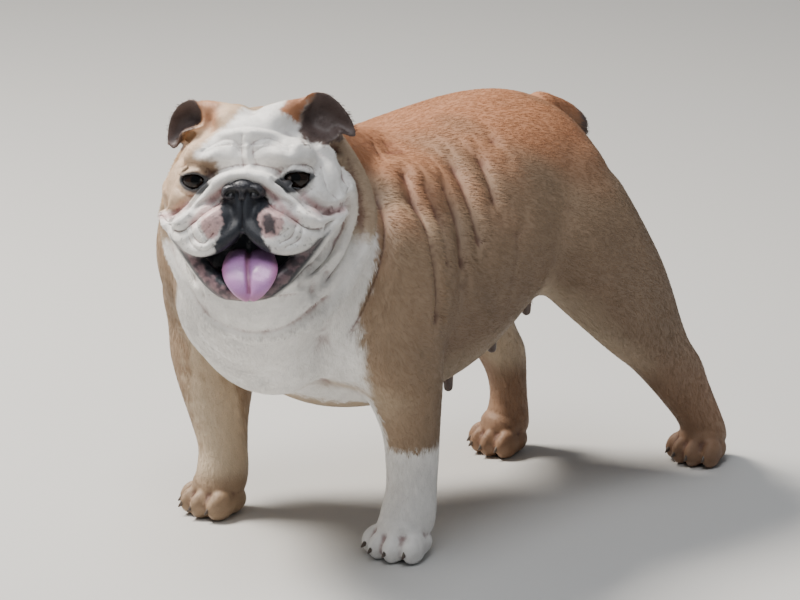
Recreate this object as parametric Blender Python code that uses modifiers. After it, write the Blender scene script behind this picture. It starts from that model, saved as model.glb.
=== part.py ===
"""Life-size English bulldog in a standing pose, its head turned to its left and its mouth open.

Metres, +Z up. The trunk points along -Y and the dog's left side is +X.
The body is modelled whole, as overlapping masses that are fused and smoothed like clay, and is then
parted into its named pieces with thin cuts.
"""

import math

import bmesh
import bpy
from mathutils import Euler, Matrix, Vector

MM = 0.001

# Driving dimensions of the body, in metres.
WITHERS_Z = 0.363
LOIN_Z = 0.388
BRISKET_Z = 0.112
GIRDLE_X = -0.010

# Where the head sits, and which way it looks.
HEAD_CENTRE = Vector((0.0946, -0.1347, 0.380))
HEAD_YAW = 42.0
HEAD_PITCH = 8.0
HEAD_ROLL = -3.0

# From the modelling frame to the finished model: its size in life, then its footprint's middle at the origin.
LIFE_SIZE = 0.96
TO_ORIGIN = Vector((-0.0051530, -0.1101004, 0.0))

# How the body is parted.
GAP = 0.0003
SOCKET = 1.6
BODY_FACES = 3740
EAR_ROOT = 0.064
EAR_TILT = 42.0

# Eyeballs: for the left, 1, and the right, -1, the centre in the head's own frame in millimetres, outwards from the
# middle, and the radius of both in metres.
EYES = {1: (41.5, -34.0, -0.5), -1: (46.5, -33.0, -0.5)}
EYE_RADIUS = 0.0135


def clear_scene():
    for item in list(bpy.data.objects):
        bpy.data.objects.remove(item)


def ball(clay, centre, radii, turn=(0, 0, 0)):
    """An ellipsoid of clay; turn is in degrees. Every ball is a copy of one unit sphere."""
    unit = bpy.data.meshes.get("unit_ball")
    if unit is None:
        unit = bpy.data.meshes.new("unit_ball")
        sphere = bmesh.new()
        bmesh.ops.create_uvsphere(sphere, u_segments=20, v_segments=12, radius=1)
        sphere.to_mesh(unit)
        sphere.free()
    spin = Euler([math.radians(angle) for angle in turn]).to_matrix().to_4x4()
    lump = unit.copy()
    lump.transform(Matrix.Translation(centre) @ spin @ Matrix.Diagonal((*radii, 1)))
    clay.from_mesh(lump)
    bpy.data.meshes.remove(lump)


def smooth_run(points, spacing):
    """The points with more between them, on a Catmull-Rom curve. A point may hold more than three numbers."""
    ends = [[2 * a - b for a, b in zip(points[0], points[1])], [2 * a - b for a, b in zip(points[-1], points[-2])]]
    padded = [ends[0], *points, ends[1]]
    found = []
    for i in range(1, len(padded) - 2):
        steps = max(1, math.ceil((Vector(padded[i + 1][:3]) - Vector(padded[i][:3])).length / spacing))
        for k in range(steps):
            t = k / steps
            found.append([
                0.5 * (2 * b + (c - a) * t + (2 * a - 5 * b + 4 * c - d) * t * t + (3 * b - 3 * c + d - a) * t ** 3)
                for a, b, c, d in zip(*padded[i - 1:i + 3])
            ])
    return found + [list(points[-1])]


def roll(clay, points):
    """A tapered roll of clay through points (x, y, z, radius)."""
    finest = min(point[3] for point in points)
    for x, y, z, radius in smooth_run(points, 0.45 * finest):
        ball(clay, (x, y, z), (radius, radius, radius))


def loft(clay, sections, across, sides=28, spacing=0.015):
    """A closed form through rings. A section is (centre x, y, z, half size one way, half size the other).
    across is "Y" for rings that face along Y, and "Z" for level rings."""
    spin = Matrix.Rotation(math.radians(90), 4, "X") if across == "Y" else Matrix.Identity(4)
    form = bmesh.new()
    rings = []
    for x, y, z, first, second in smooth_run(sections, spacing):
        place = Matrix.Translation((x, y, z)) @ spin @ Matrix.Diagonal((first, second, 1, 1))
        verts = bmesh.ops.create_circle(form, segments=sides, radius=1, matrix=place)["verts"]
        rings.append(list({edge for vert in verts for edge in vert.link_edges}))
    for one, other in zip(rings, rings[1:]):
        bmesh.ops.bridge_loops(form, edges=one + other)
    for end in (rings[0], rings[-1]):
        bmesh.ops.contextual_create(form, geom=end)
    bmesh.ops.recalc_face_normals(form, faces=form.faces)
    mesh = bpy.data.meshes.new("form")
    form.to_mesh(mesh)
    form.free()
    clay.from_mesh(mesh)
    bpy.data.meshes.remove(mesh)


def both_sides(shape):
    """Calls shape(side) for the dog's left, +1, and its right, -1."""
    for side in (1, -1):
        shape(side)


def trunk_clay(clay):
    """Barrel, chest and rump as one loft along the spine, with the shoulder and hip muscles on it."""
    # Stations from chest to rump: x, y, top, bottom, half width.
    stations = (
        (GIRDLE_X, -0.108, 0.264, 0.204, 0.050),
        (-0.006, -0.085, 0.314, 0.172, 0.089),
        (-0.008, -0.045, 0.347, 0.147, 0.119),
        (GIRDLE_X, 0.000, WITHERS_Z - 0.002, BRISKET_Z + 0.010, 0.137),
        (-0.008, 0.050, WITHERS_Z + 0.003, BRISKET_Z + 0.002, 0.140),
        (-0.005, 0.100, 0.373, 0.119, 0.137),
        (-0.002, 0.150, 0.382, 0.137, 0.128),
        (0.000, 0.200, LOIN_Z, 0.170, 0.114),
        (0.000, 0.245, 0.385, 0.195, 0.104),
        (0.000, 0.280, 0.371, 0.208, 0.092),
        (0.000, 0.305, 0.346, 0.222, 0.075),
        (0.000, 0.324, 0.312, 0.252, 0.043),
    )
    loft(clay, [
        (x, y, (top + bottom) / 2, half, (top - bottom) / 2) for x, y, top, bottom, half in stations], "Y")

    def muscles(side):
        ball(clay, (GIRDLE_X + side * 0.103, 0.005, 0.245), (0.060, 0.085, 0.092), (8, side * 12, 0))
        ball(clay, (GIRDLE_X + side * 0.070, 0.040, 0.298), (0.056, 0.090, 0.064))
        ball(clay, (side * 0.054, 0.246, 0.298), (0.052, 0.063, 0.057))
    both_sides(muscles)
    ball(clay, (0.012, -0.068, 0.222), (0.096, 0.046, 0.072))


def leg_clay(clay, side, sections):
    """A leg as level sections: x outwards, y, z, half width and half depth."""
    loft(clay, [(side * x, y, z, half, deep) for x, y, z, half, deep in sections], "Z", sides=20)


# The forelegs are straight and stout, the left one set a little further back.
LEFT_FORE = (
    (0.096, 0.000, 0.259, 0.050, 0.062),
    (0.108, -0.002, 0.214, 0.047, 0.057),
    (0.112, 0.010, 0.174, 0.040, 0.046),
    (0.110, 0.022, 0.147, 0.032, 0.036),
    (0.107, 0.031, 0.115, 0.0265, 0.0290),
    (0.105, 0.034, 0.086, 0.0250, 0.0265),
    (0.104, 0.034, 0.060, 0.0240, 0.0255),
    (0.104, 0.030, 0.038, 0.0260, 0.0290),
    (0.104, 0.026, 0.018, 0.0255, 0.0285),
)
RIGHT_FORE = (
    (0.113, 0.000, 0.259, 0.050, 0.066),
    (0.128, -0.002, 0.214, 0.050, 0.062),
    (0.133, -0.004, 0.174, 0.044, 0.050),
    (0.133, -0.008, 0.147, 0.039, 0.046),
    (0.123, -0.014, 0.115, 0.0330, 0.0380),
    (0.114, -0.018, 0.086, 0.0270, 0.0300),
    (0.106, -0.020, 0.060, 0.0235, 0.0255),
    (0.103, -0.024, 0.038, 0.0245, 0.0280),
    (0.103, -0.028, 0.018, 0.0245, 0.0280),
)
# The left hind leg is stretched back; the right one stands under the hip.
LEFT_HIND = (
    (0.060, 0.250, 0.308, 0.050, 0.062),
    (0.070, 0.254, 0.270, 0.054, 0.078),
    (0.077, 0.278, 0.225, 0.050, 0.078),
    (0.080, 0.304, 0.190, 0.042, 0.068),
    (0.082, 0.328, 0.158, 0.035, 0.056),
    (0.081, 0.351, 0.132, 0.029, 0.048),
    (0.079, 0.375, 0.110, 0.0245, 0.043),
    (0.077, 0.394, 0.086, 0.0220, 0.036),
    (0.074, 0.416, 0.058, 0.0210, 0.030),
    (0.073, 0.432, 0.034, 0.0225, 0.025),
    (0.073, 0.434, 0.016, 0.0235, 0.027),
)
RIGHT_HIND = (
    (0.060, 0.250, 0.308, 0.050, 0.062),
    (0.068, 0.240, 0.270, 0.054, 0.074),
    (0.073, 0.238, 0.225, 0.050, 0.068),
    (0.076, 0.244, 0.190, 0.042, 0.056),
    (0.077, 0.258, 0.158, 0.035, 0.046),
    (0.077, 0.278, 0.130, 0.028, 0.036),
    (0.076, 0.297, 0.106, 0.0225, 0.031),
    (0.075, 0.306, 0.082, 0.0200, 0.0235),
    (0.074, 0.309, 0.056, 0.0185, 0.0210),
    (0.074, 0.307, 0.034, 0.0215, 0.025),
    (0.074, 0.305, 0.016, 0.0225, 0.027),
)

# Each foot: name, x and y where the leg comes down, size, and outward turn in degrees.
FEET = (
    ("front_left", 0.104, 0.028, 1.0, 8),
    ("front_right", -0.103, -0.024, 1.0, -8),
    ("hind_left", 0.073, 0.434, 0.92, 6),
    ("hind_right", -0.074, 0.306, 0.92, -6),
)
# Toes of one paw: how far out and how far ahead of its leg.
TOES = ((-0.0230, 0.0150), (-0.0080, 0.0240), (0.0080, 0.0240), (0.0230, 0.0150))


def foot_frame(x, y, size, turn):
    """The matrix from a paw's own frame, toes along -Y, to the body's."""
    return Matrix.Translation((x, y, 0)) @ Matrix.Rotation(math.radians(turn), 4, "Z") @ Matrix.Diagonal(
        (size, size, 1, 1))


def paw_clay(clay):
    """Four split toes and the pads behind them, in the paw's own frame."""
    for across, ahead in TOES:
        ball(clay, (across, -ahead, 0.0125), (0.0100, 0.0175, 0.0150), (10, 0, across * 500))
    ball(clay, (0, -0.002, 0.013), (0.0275, 0.0250, 0.018))
    ball(clay, (0, -0.006, 0.028), (0.0245, 0.0240, 0.019))


def tail_clay(clay):
    """A short screwed tail, lying over the rump."""
    roll(clay, [
        (0.000, 0.280, 0.359, 0.019),
        (0.000, 0.302, 0.355, 0.014),
        (0.001, 0.316, 0.350, 0.0110),
        (0.003, 0.326, 0.342, 0.0095),
        (0.004, 0.329, 0.333, 0.0080),
    ])


def head_frame():
    """The matrix from the head's own frame, in which the face looks along -Y, to the body's."""
    yaw = Matrix.Rotation(math.radians(HEAD_YAW), 4, "Z")
    pitch = Matrix.Rotation(math.radians(-HEAD_PITCH), 4, "X")
    tilt = Matrix.Rotation(math.radians(HEAD_ROLL), 4, "Y")
    return Matrix.Translation(HEAD_CENTRE) @ yaw @ pitch @ tilt


def neck_clay(clay):
    """The short thick neck, from the withers to the back of the skull, and the throat."""
    at_head = head_frame()
    skull = at_head @ Vector((0, 0.030, -0.022))
    crest = at_head @ Vector((0, 0.038, 0.004))
    throat = at_head @ Vector((0, 0.004, -0.080))
    roll(clay, [
        (GIRDLE_X, 0.040, 0.268, 0.092),
        (0.005, -0.030, 0.283, 0.100),
        (0.036, -0.076, 0.314, 0.094),
        (*skull, 0.079),
    ])
    roll(clay, [
        (GIRDLE_X, 0.090, 0.314, 0.056),
        (0.006, 0.030, 0.321, 0.062),
        (0.030, -0.034, 0.345, 0.062),
        (*crest, 0.054),
    ])
    roll(clay, [
        (GIRDLE_X, -0.030, 0.230, 0.088),
        (0.030, -0.078, 0.258, 0.082),
        (*throat, 0.060),
    ])


def mm_ball(clay, centre, radii, turn=(0, 0, 0)):
    ball(clay, [v * MM for v in centre], [v * MM for v in radii], turn)


def mm_roll(clay, points, side=1):
    roll(clay, [(side * x * MM, y * MM, z * MM, r * MM) for x, y, z, r in points])


def skull_clay(clay):
    """Skull, cheeks, brow and muzzle, in the head's own frame and in millimetres."""
    mm_ball(clay, (0, 12, 8), (68, 62, 48))
    mm_ball(clay, (0, -22, 24), (38, 26, 30))
    mm_ball(clay, (0, -42, -16), (44, 30, 20))
    mm_ball(clay, (0, 6, -66), (52, 44, 28))

    def half(side):
        mm_ball(clay, (side * 19, 4, 47), (20, 34, 16))
        mm_ball(clay, (side * 34, -30, 20), (26, 19, 16), (0, side * 8, 0))
        mm_ball(clay, (side * 50, -26, -16), (26, 21, 16))
        mm_ball(clay, (side * 55, -2, -18), (29, 38, 40))
        mm_ball(clay, (side * 44, 6, -46), (34, 40, 32))
    both_sides(half)


def face_clay(clay):
    """The rolls of the face: nose wrinkle, cheek folds, lids, upper lips and their margins."""
    mm_ball(clay, (0, -62, -10), (19, 12, 14))
    mm_roll(clay, [(0, -68, -16, 9), (0, -71, -26, 8), (0, -70, -32, 6)])

    def half(side):
        mm_ball(clay, (side * 24, -65, -37), (22, 18, 22), (0, 0, side * -12))
        mm_ball(clay, (side * 45, -53, -41), (24, 21, 20), (0, side * 10, side * 30))
        mm_roll(clay, [
            (0, -72, -32, 6), (11, -77, -44, 7), (24, -77, -52, 8.5), (38, -71, -55, 8.5),
            (52, -60, -52, 8), (63, -46, -47, 7), (71, -32, -41, 5.5)], side)
        mm_roll(clay, [
            (0, -67, 7, 5.5), (17, -64, 2.5, 6.5), (33, -58, -10, 8), (45, -52, -24, 8.5),
            (57, -46, -34.5, 8.5), (71, -35, -38, 8), (79, -24, -31, 6)], side)
        mm_roll(clay, [
            (36, -47, -10, 5), (50, -42, -17, 6.5), (62, -35, -21.5, 7), (74, -25, -21, 7.5),
            (82, -10, -12, 9)], side if side > 0 else -0.93)
        eye = EYES[side][0]
        mm_roll(clay, [
            (eye - 13, -46, 1.5, 3), (eye - 7, -47.5, 6.5, 3.2), (eye, -47, 8, 3.2), (eye + 7, -43, 6, 3),
            (eye + 14, -35, 1, 2.5)], side)
        mm_roll(clay, [
            (eye - 13, -46, 0.5, 3), (eye - 7, -46.5, -6.5, 3), (eye, -46, -8.5, 3), (eye + 7, -42.5, -6.5, 3),
            (eye + 14, -35, 0, 2.5)], side)
    both_sides(half)


def jaw_clay(clay):
    """The dropped lower jaw: lip roll, chin and floor of the mouth."""
    mm_ball(clay, (0, -58, -92), (32, 20, 13))
    mm_ball(clay, (0, -34, -86), (44, 36, 16))

    def half(side):
        mm_roll(clay, [
            (0, -77, -93, 8.5), (17, -75, -91, 9), (32, -66, -81, 9), (44, -56, -69, 8.5),
            (56, -45, -57, 8), (66, -34, -47, 6.5), (72, -27, -42, 4.5)], side)
        mm_roll(clay, [(30, -32, -78, 12), (44, -32, -66, 12), (54, -28, -54, 12), (60, -22, -46, 10)], side)
    both_sides(half)


def fold_clay(clay):
    """The loose folds of skin that hang round the face and the neck, in the head's own frame.
    They bunch on the dog's left, the side the head is turned to."""
    def half(turned):
        side = turned if turned > 0 else -0.91
        mm_roll(clay, [
            (60, -10, 22, 8), (72, -4, 3, 10), (78, 2, -20, 10), (77, 2, -42, 10), (70, -5, -61, 9),
            (55, -17, -80, 9), (36, -28, -93, 8), (16, -32, -99, 8), (0, -33, -101, 8)], side)
        mm_roll(clay, [
            (70, 16, 8, 9), (80, 16, -22, 10), (80, 14, -46, 10), (74, 6, -70, 10), (61, -6, -92, 9),
            (42, -16, -108, 9), (20, -22, -116, 8), (0, -23, -118, 8)], side)
        mm_roll(clay, [
            (62, 34, 26, 12), (76, 30, 0, 14), (84, 30, -24, 15), (85, 28, -46, 15), (80, 24, -68, 15),
            (72, 18, -90, 14), (60, 10, -110, 13), (42, 2, -126, 12), (20, -4, -134, 11), (0, -6, -137, 11)], side)
    both_sides(half)


# The left ear's rim, round from where it leaves the brow, over the top and the tip, and back under.
EAR_RIM = (
    (38, -8, 40), (37, -6, 53), (43, -2, 64), (54, 1, 70.5), (67, 4, 66.5), (78, 7, 55), (85, 9, 42), (87, 8, 31),
    (80, 5, 33), (75, 3, 36), (72, 1, 30), (64, -4, 28), (54, -8, 30), (45, -9, 34),
)
# The right ear stands closer to the head, and is given mirrored to the left.
RIGHT_EAR_RIM = (
    (42, -8, 44), (43, -6, 56), (52, -2, 66), (60, 1, 65), (68, 4, 60), (75, 7, 50), (78, 8, 38), (78, 6, 28),
    (72, 3, 24), (68, 0, 30), (65, -2, 37), (58, -6, 40), (50, -8, 42),
)
EAR_BOWL = (57, 16, 44)


def ear_clay(clay, thick):
    """Folded rose ears: an open bowl of skin, its rim turned outwards and its tip hanging."""
    def half(side):
        rim = [(side * x, y, z) for x, y, z in (EAR_RIM if side > 0 else RIGHT_EAR_RIM)]
        bowl = Vector((side * EAR_BOWL[0], EAR_BOWL[1], EAR_BOWL[2]))
        for x, y, z in smooth_run([*rim, rim[0]], 3.2):
            edge = Vector((x, y, z))
            for k in range(9):
                t = k / 8
                spot = edge.lerp(bowl, t * 0.9)
                spot.y = y + (bowl.y - y) * math.sin(t * math.pi / 2)
                mm_ball(clay, spot, (thick, thick, thick))
        mm_roll(clay, [(22, -2, 54, 10), (34, -1, 57, 9), (44, 3, 60, 7)], side)
        mm_ball(clay, (side * 56, 22, 38), (20, 14, 18))
    both_sides(half)


def fused(name, clay, voxel, rounds, factor=0.5):
    """The clay as one closed mesh object: voxels of that size, smoothed that many times."""
    mesh = bpy.data.meshes.new(name)
    clay.to_mesh(mesh)
    clay.free()
    raw = bpy.data.objects.new(name + "_raw", mesh)
    bpy.context.collection.objects.link(raw)
    remesh = raw.modifiers.new("voxels", "REMESH")
    remesh.mode = "VOXEL"
    remesh.voxel_size = voxel
    smooth = raw.modifiers.new("smooth", "SMOOTH")
    smooth.factor = factor
    smooth.iterations = rounds
    evaluated = raw.evaluated_get(bpy.context.evaluated_depsgraph_get())
    done = bpy.data.objects.new(name, bpy.data.meshes.new_from_object(evaluated))
    bpy.context.collection.objects.link(done)
    bpy.data.objects.remove(raw)
    return done


def clay_of(*items):
    """One bmesh of several objects' meshes, each with its own placing; the objects are removed."""
    clay = bmesh.new()
    for item, place in items:
        item.data.transform(place)
        clay.from_mesh(item.data)
        bpy.data.objects.remove(item)
    return clay


def whole_dog(voxel):
    here = Matrix.Identity(4)
    limbs = bmesh.new()
    trunk_clay(limbs)
    leg_clay(limbs, 1, LEFT_FORE)
    leg_clay(limbs, -1, RIGHT_FORE)
    leg_clay(limbs, 1, LEFT_HIND)
    leg_clay(limbs, -1, RIGHT_HIND)
    neck_clay(limbs)
    body = fused("body", limbs, 0.005, 12)

    toes = bmesh.new()
    paw_clay(toes)
    paw = fused("paw", toes, 0.002, 3)
    feet = []
    for _, x, y, size, turn in FEET:
        foot = bpy.data.objects.new("foot", paw.data.copy())
        feet.append((foot, foot_frame(x, y, size, turn)))
    bpy.data.objects.remove(paw)

    bone = bmesh.new()
    skull_clay(bone)
    skull = fused("skull", bone, 0.003, 8)
    rolls = bmesh.new()
    face_clay(rolls)
    jaw_clay(rolls)
    face = fused("face", rolls, 0.0022, 2)
    loose = bmesh.new()
    fold_clay(loose)
    folds = fused("folds", loose, 0.003, 2)
    flaps = bmesh.new()
    ear_clay(flaps, 2.6)
    ears = fused("ears", flaps, 0.0015, 2)
    stub = bmesh.new()
    tail_clay(stub)
    tail = fused("tail_clay", stub, 0.002, 2)
    head = fused("head", clay_of((skull, here), (face, here), (folds, here), (ears, here)), 0.0022, 3)
    return fused("dog", clay_of((body, here), (tail, here), *feet, (head, head_frame())), voxel, 3)


def carved(item, cutter, operation):
    """Replaces the item's mesh by its Boolean with the cutter, and keeps the largest closed piece."""
    cut = item.modifiers.new("cut", "BOOLEAN")
    cut.operation = operation
    cut.solver = "EXACT"
    cut.object = cutter
    evaluated = item.evaluated_get(bpy.context.evaluated_depsgraph_get())
    mesh = bpy.data.meshes.new_from_object(evaluated)
    item.modifiers.remove(cut)
    item.data = mesh
    keep_largest(mesh)


def keep_largest(mesh):
    shape = bmesh.new()
    shape.from_mesh(mesh)
    bmesh.ops.remove_doubles(shape, verts=shape.verts, dist=0.00001)
    seen = set()
    islands = []
    for start in shape.verts:
        if start in seen:
            continue
        island = []
        waiting = [start]
        seen.add(start)
        while waiting:
            vert = waiting.pop()
            island.append(vert)
            for edge in vert.link_edges:
                other = edge.other_vert(vert)
                if other not in seen:
                    seen.add(other)
                    waiting.append(other)
        islands.append(island)
    islands.sort(key=len)
    for island in islands[:-1]:
        bmesh.ops.delete(shape, geom=island, context="VERTS")
    bmesh.ops.triangulate(shape, faces=shape.faces)
    shape.to_mesh(mesh)
    shape.free()


def placed(name, mesh):
    item = bpy.data.objects.new(name, mesh)
    bpy.context.collection.objects.link(item)
    return item


def box(place, low, high, grow=0.0):
    """A box between two corners of a frame, grown on all sides."""
    form = bmesh.new()
    sizes = [b - a + 2 * grow for a, b in zip(low, high)]
    middle = [(a + b) / 2 for a, b in zip(low, high)]
    bmesh.ops.create_cube(form, size=1, matrix=place @ Matrix.Translation(middle) @ Matrix.Diagonal((*sizes, 1)))
    mesh = bpy.data.meshes.new("box")
    form.to_mesh(mesh)
    form.free()
    return placed("box", mesh)


def part_off(body, name, place, low, high):
    """Takes the piece inside a box off the body, with a thin gap between the two."""
    piece = placed(name, body.data.copy())
    for item, cutter, operation in (
            (piece, box(place, low, high), "INTERSECT"), (body, box(place, low, high, GAP), "DIFFERENCE")):
        carved(item, cutter, operation)
        bpy.data.objects.remove(cutter)
    return piece


def sunk(piece, hosts):
    """Cuts a socket for the piece, a little larger than it, in each host."""
    cutter = placed("socket", piece.data.copy())
    shape = bmesh.new()
    shape.from_mesh(cutter.data)
    shape.normal_update()
    for vert, normal in [(vert, vert.normal.copy()) for vert in shape.verts]:
        vert.co += normal * GAP * SOCKET
    shape.to_mesh(cutter.data)
    shape.free()
    for host in hosts:
        carved(host, cutter, "DIFFERENCE")
    bpy.data.objects.remove(cutter)
    return piece


def object_from(name, form, place):
    """An object from a bmesh, which is freed."""
    mesh = bpy.data.meshes.new(name)
    form.to_mesh(mesh)
    form.free()
    mesh.transform(place)
    return placed(name, mesh)


def eye_shape(name, side):
    form = bmesh.new()
    out, ahead, up = EYES[side]
    place = Matrix.Translation((side * out * MM, ahead * MM, up * MM))
    bmesh.ops.create_uvsphere(form, u_segments=16, v_segments=9, radius=EYE_RADIUS, matrix=place)
    return object_from(name, form, head_frame())


def nose_shape():
    """The nose leather: a broad pad with a wing on each side."""
    clay = bmesh.new()

    def half(side):
        mm_ball(clay, (side * 10, -70, -7.5), (8.5, 8, 7))
        mm_ball(clay, (side * 14, -67, -9), (5.5, 7, 5))
    both_sides(half)
    mm_ball(clay, (0, -69, -4), (11, 9, 7.5))
    mm_ball(clay, (0, -73, -10), (5, 5, 6))
    pad = fused("nose", clay, 0.0011, 2)
    pad.data.transform(head_frame())
    thinned(pad, 190)
    return pad


def open_nostrils(nose):
    for side in (1, -1):
        form = bmesh.new()
        place = Matrix.Translation((side * 0.0095, -0.078, -0.0085)) @ Matrix.Diagonal((0.003, 0.006, 0.0024, 1))
        bmesh.ops.create_icosphere(form, subdivisions=1, radius=1, matrix=place)
        hole = object_from("nostril", form, head_frame())
        carved(nose, hole, "DIFFERENCE")
        bpy.data.objects.remove(hole)


def tongue_shape():
    """A broad tongue that lies in the jaw and hangs over the lower lip, with a groove along its middle."""
    clay = bmesh.new()
    run = [
        (0, -22, -66, 15, 6), (1, -44, -64, 19, 6.5), (3, -62, -67, 22, 6), (5, -77, -74, 24, 5.5),
        (6, -86.5, -83, 21, 4.5), (6, -89.5, -92, 14, 4), (6, -89.5, -97, 7, 3.2)]
    for x, y, z, half, thick in smooth_run(run, 1.8):
        for across in (-1, 1):
            mm_ball(clay, (x + across * half * 0.48, y, z), (half * 0.54, thick, thick))
    slab = fused("tongue", clay, 0.0013, 2)
    slab.data.transform(head_frame())
    thinned(slab, 330)
    return slab


def claw_shape(name, foot, toe):
    """One blunt claw at the front of a toe."""
    _, x, y, size, turn = foot
    across, ahead = toe
    at_toe = Vector((across * 1.06, -ahead - 0.0150, 0.0115))
    aim = Matrix.Rotation(math.radians(across * 500), 4, "Z") @ Matrix.Rotation(math.radians(112), 4, "X")
    form = bmesh.new()
    bmesh.ops.create_cone(form, cap_ends=True, segments=6, radius1=0.0030, radius2=0.0009, depth=0.0100)
    return object_from(name, form, foot_frame(x, y, size, turn) @ Matrix.Translation(at_toe) @ aim)


def thinned(item, faces):
    """Reduces the item's mesh to about that many triangles."""
    thin = item.modifiers.new("thin", "DECIMATE")
    thin.ratio = faces / (2 * len(item.data.polygons))
    evaluated = item.evaluated_get(bpy.context.evaluated_depsgraph_get())
    mesh = bpy.data.meshes.new_from_object(evaluated)
    item.modifiers.remove(thin)
    item.data = mesh
    keep_largest(mesh)


def parted(body):
    """The body's named pieces."""
    here = Matrix.Identity(4)
    at_head = head_frame()
    ground = box(here, (-1, -1, 0), (1, 1, 1))
    carved(body, ground, "INTERSECT")
    bpy.data.objects.remove(ground)
    pieces = []
    for foot in FEET:
        name, x, y, size, turn = foot
        paw = part_off(body, "paw_" + name, foot_frame(x, y, size, turn), (-0.045, -0.062, -0.02), (0.045, 0.05, 0.036))
        for number, toe in enumerate(TOES, 1):
            pieces.append(sunk(claw_shape(f"claw_{name}_{number}", foot, toe), [paw]))
        pieces.append(paw)
    for name, low, high in (
            ("leg_front_left", (0.062, -0.10, 0), (0.22, 0.085, 0.225)),
            ("leg_front_right", (-0.22, -0.10, 0), (-0.070, 0.080, 0.225)),
            ("leg_hind_left", (0.030, 0.185, 0), (0.20, 0.50, 0.300)),
            ("leg_hind_right", (-0.20, 0.170, 0), (-0.030, 0.40, 0.300)),
            ("tail", (-0.03, 0.312, 0.305), (0.04, 0.38, 0.38))):
        pieces.append(part_off(body, name, here, low, high))
    for side, name in ((1, "left"), (-1, "right")):
        tilt = at_head @ Matrix.Rotation(math.radians(side * EAR_TILT), 4, "Y")
        pieces.append(part_off(body, "ear_" + name, tilt, (-0.045, -0.020, EAR_ROOT), (0.045, 0.045, 0.14)))
    neck = part_off(body, "neck", at_head, (-0.14, -0.12, -0.155), (0.14, 0.085, 0.12))
    body.name = "trunk"
    pieces += [body, neck]
    head = part_off(neck, "head", at_head, (-0.12, -0.12, -0.155), (0.12, 0.022, 0.12))
    jaw = part_off(head, "jaw", at_head, (-0.12, -0.14, -0.20), (0.12, 0.005, -0.066))
    for side, name in ((1, "left"), (-1, "right")):
        pieces.append(sunk(eye_shape("eye_" + name, side), [head]))
    nose = sunk(nose_shape(), [head])
    open_nostrils(nose)
    tongue = sunk(tongue_shape(), [head, jaw])
    return [*pieces, head, jaw, nose, tongue]


# Base colour, roughness and the pieces that have them.
LOOKS = {
    "coat_fawn": ((0.42, 0.235, 0.115), 0.85, (
        "trunk", "neck", "tail", "leg_front_left", "leg_front_right", "leg_hind_left", "leg_hind_right",
        "paw_front_right", "paw_hind_left", "paw_hind_right", "ear_left", "ear_right")),
    "coat_white": ((0.72, 0.68, 0.62), 0.85, ("head", "jaw", "paw_front_left")),
    "nose_leather": ((0.018, 0.018, 0.022), 0.45, ("nose",)),
    "tongue_flesh": ((0.52, 0.24, 0.29), 0.40, ("tongue",)),
    "eye_brown": ((0.045, 0.022, 0.012), 0.08, ("eye_left", "eye_right")),
    "claw_horn": ((0.12, 0.09, 0.07), 0.45, ("claw",)),
}


def material_for(name):
    for look, (colour, roughness, owners) in LOOKS.items():
        if name in owners or name.split("_")[0] in owners:
            material = bpy.data.materials.get(look)
            if material is None:
                material = bpy.data.materials.new(look)
                material.use_nodes = True
                surface = material.node_tree.nodes["Principled BSDF"]
                surface.inputs["Base Color"].default_value = (*colour, 1)
                surface.inputs["Roughness"].default_value = roughness
                surface.inputs["Metallic"].default_value = 0.0
                material.diffuse_color = (*colour, 1)
            return material
    raise ValueError(name + " has no look")


def main():
    clear_scene()
    collection = bpy.data.collections.new("english_bulldog")
    bpy.context.scene.collection.children.link(collection)
    layer = bpy.context.view_layer.layer_collection.children[collection.name]
    bpy.context.view_layer.active_layer_collection = layer
    body = whole_dog(0.003)
    thinned(body, BODY_FACES)
    for piece in parted(body):
        piece.data.transform(Matrix.Translation(TO_ORIGIN) @ Matrix.Scale(LIFE_SIZE, 4))
        piece.data.materials.clear()
        piece.data.materials.append(material_for(piece.name))
        piece.data.shade_smooth()
        piece.data.set_sharp_from_angle(angle=math.radians(50))


main()
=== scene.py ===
"""A life-size English bulldog, finished as a still museum model: one skin, its coat, eyes, nose, tongue and claws.

All shapes are worked in the modelling frame, in metres with the floor at z = 0, and are brought to the finished
model's frame at the end by in_place().
"""

import math

import bmesh
import bpy
import numpy as np
from mathutils import Euler, Matrix, Vector
from mathutils.bvhtree import BVHTree


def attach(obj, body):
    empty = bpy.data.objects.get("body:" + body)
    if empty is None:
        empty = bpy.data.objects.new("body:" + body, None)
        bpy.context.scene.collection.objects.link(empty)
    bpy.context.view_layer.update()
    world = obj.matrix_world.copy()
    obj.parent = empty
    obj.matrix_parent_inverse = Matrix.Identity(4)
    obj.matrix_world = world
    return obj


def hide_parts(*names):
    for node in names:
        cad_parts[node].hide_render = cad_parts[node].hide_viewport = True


bl_info = {
    "name": "English Bulldog Model",
    "version": (1, 0, 0),
    "blender": (4, 5, 0),
    "location": "View3D > Sidebar > Bulldog",
    "description": "Builds the skin, coat, eyes, nose, tongue and claws of a life-size English bulldog",
    "category": "Object",
}

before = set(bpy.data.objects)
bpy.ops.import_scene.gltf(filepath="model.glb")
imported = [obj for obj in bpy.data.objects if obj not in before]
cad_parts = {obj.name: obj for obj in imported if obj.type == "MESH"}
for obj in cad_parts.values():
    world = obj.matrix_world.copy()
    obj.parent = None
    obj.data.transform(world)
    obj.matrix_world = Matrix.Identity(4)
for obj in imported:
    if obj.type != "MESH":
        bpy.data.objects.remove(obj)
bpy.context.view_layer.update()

MM = 0.001

# Driving dimensions of the body, in metres.
WITHERS_Z = 0.363
LOIN_Z = 0.388
BRISKET_Z = 0.112
GIRDLE_X = -0.010

# Where the head sits, and which way it looks.
HEAD_CENTRE = Vector((0.0946, -0.1347, 0.380))
HEAD_YAW = 42.0
HEAD_PITCH = 8.0
HEAD_ROLL = -3.0

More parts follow.
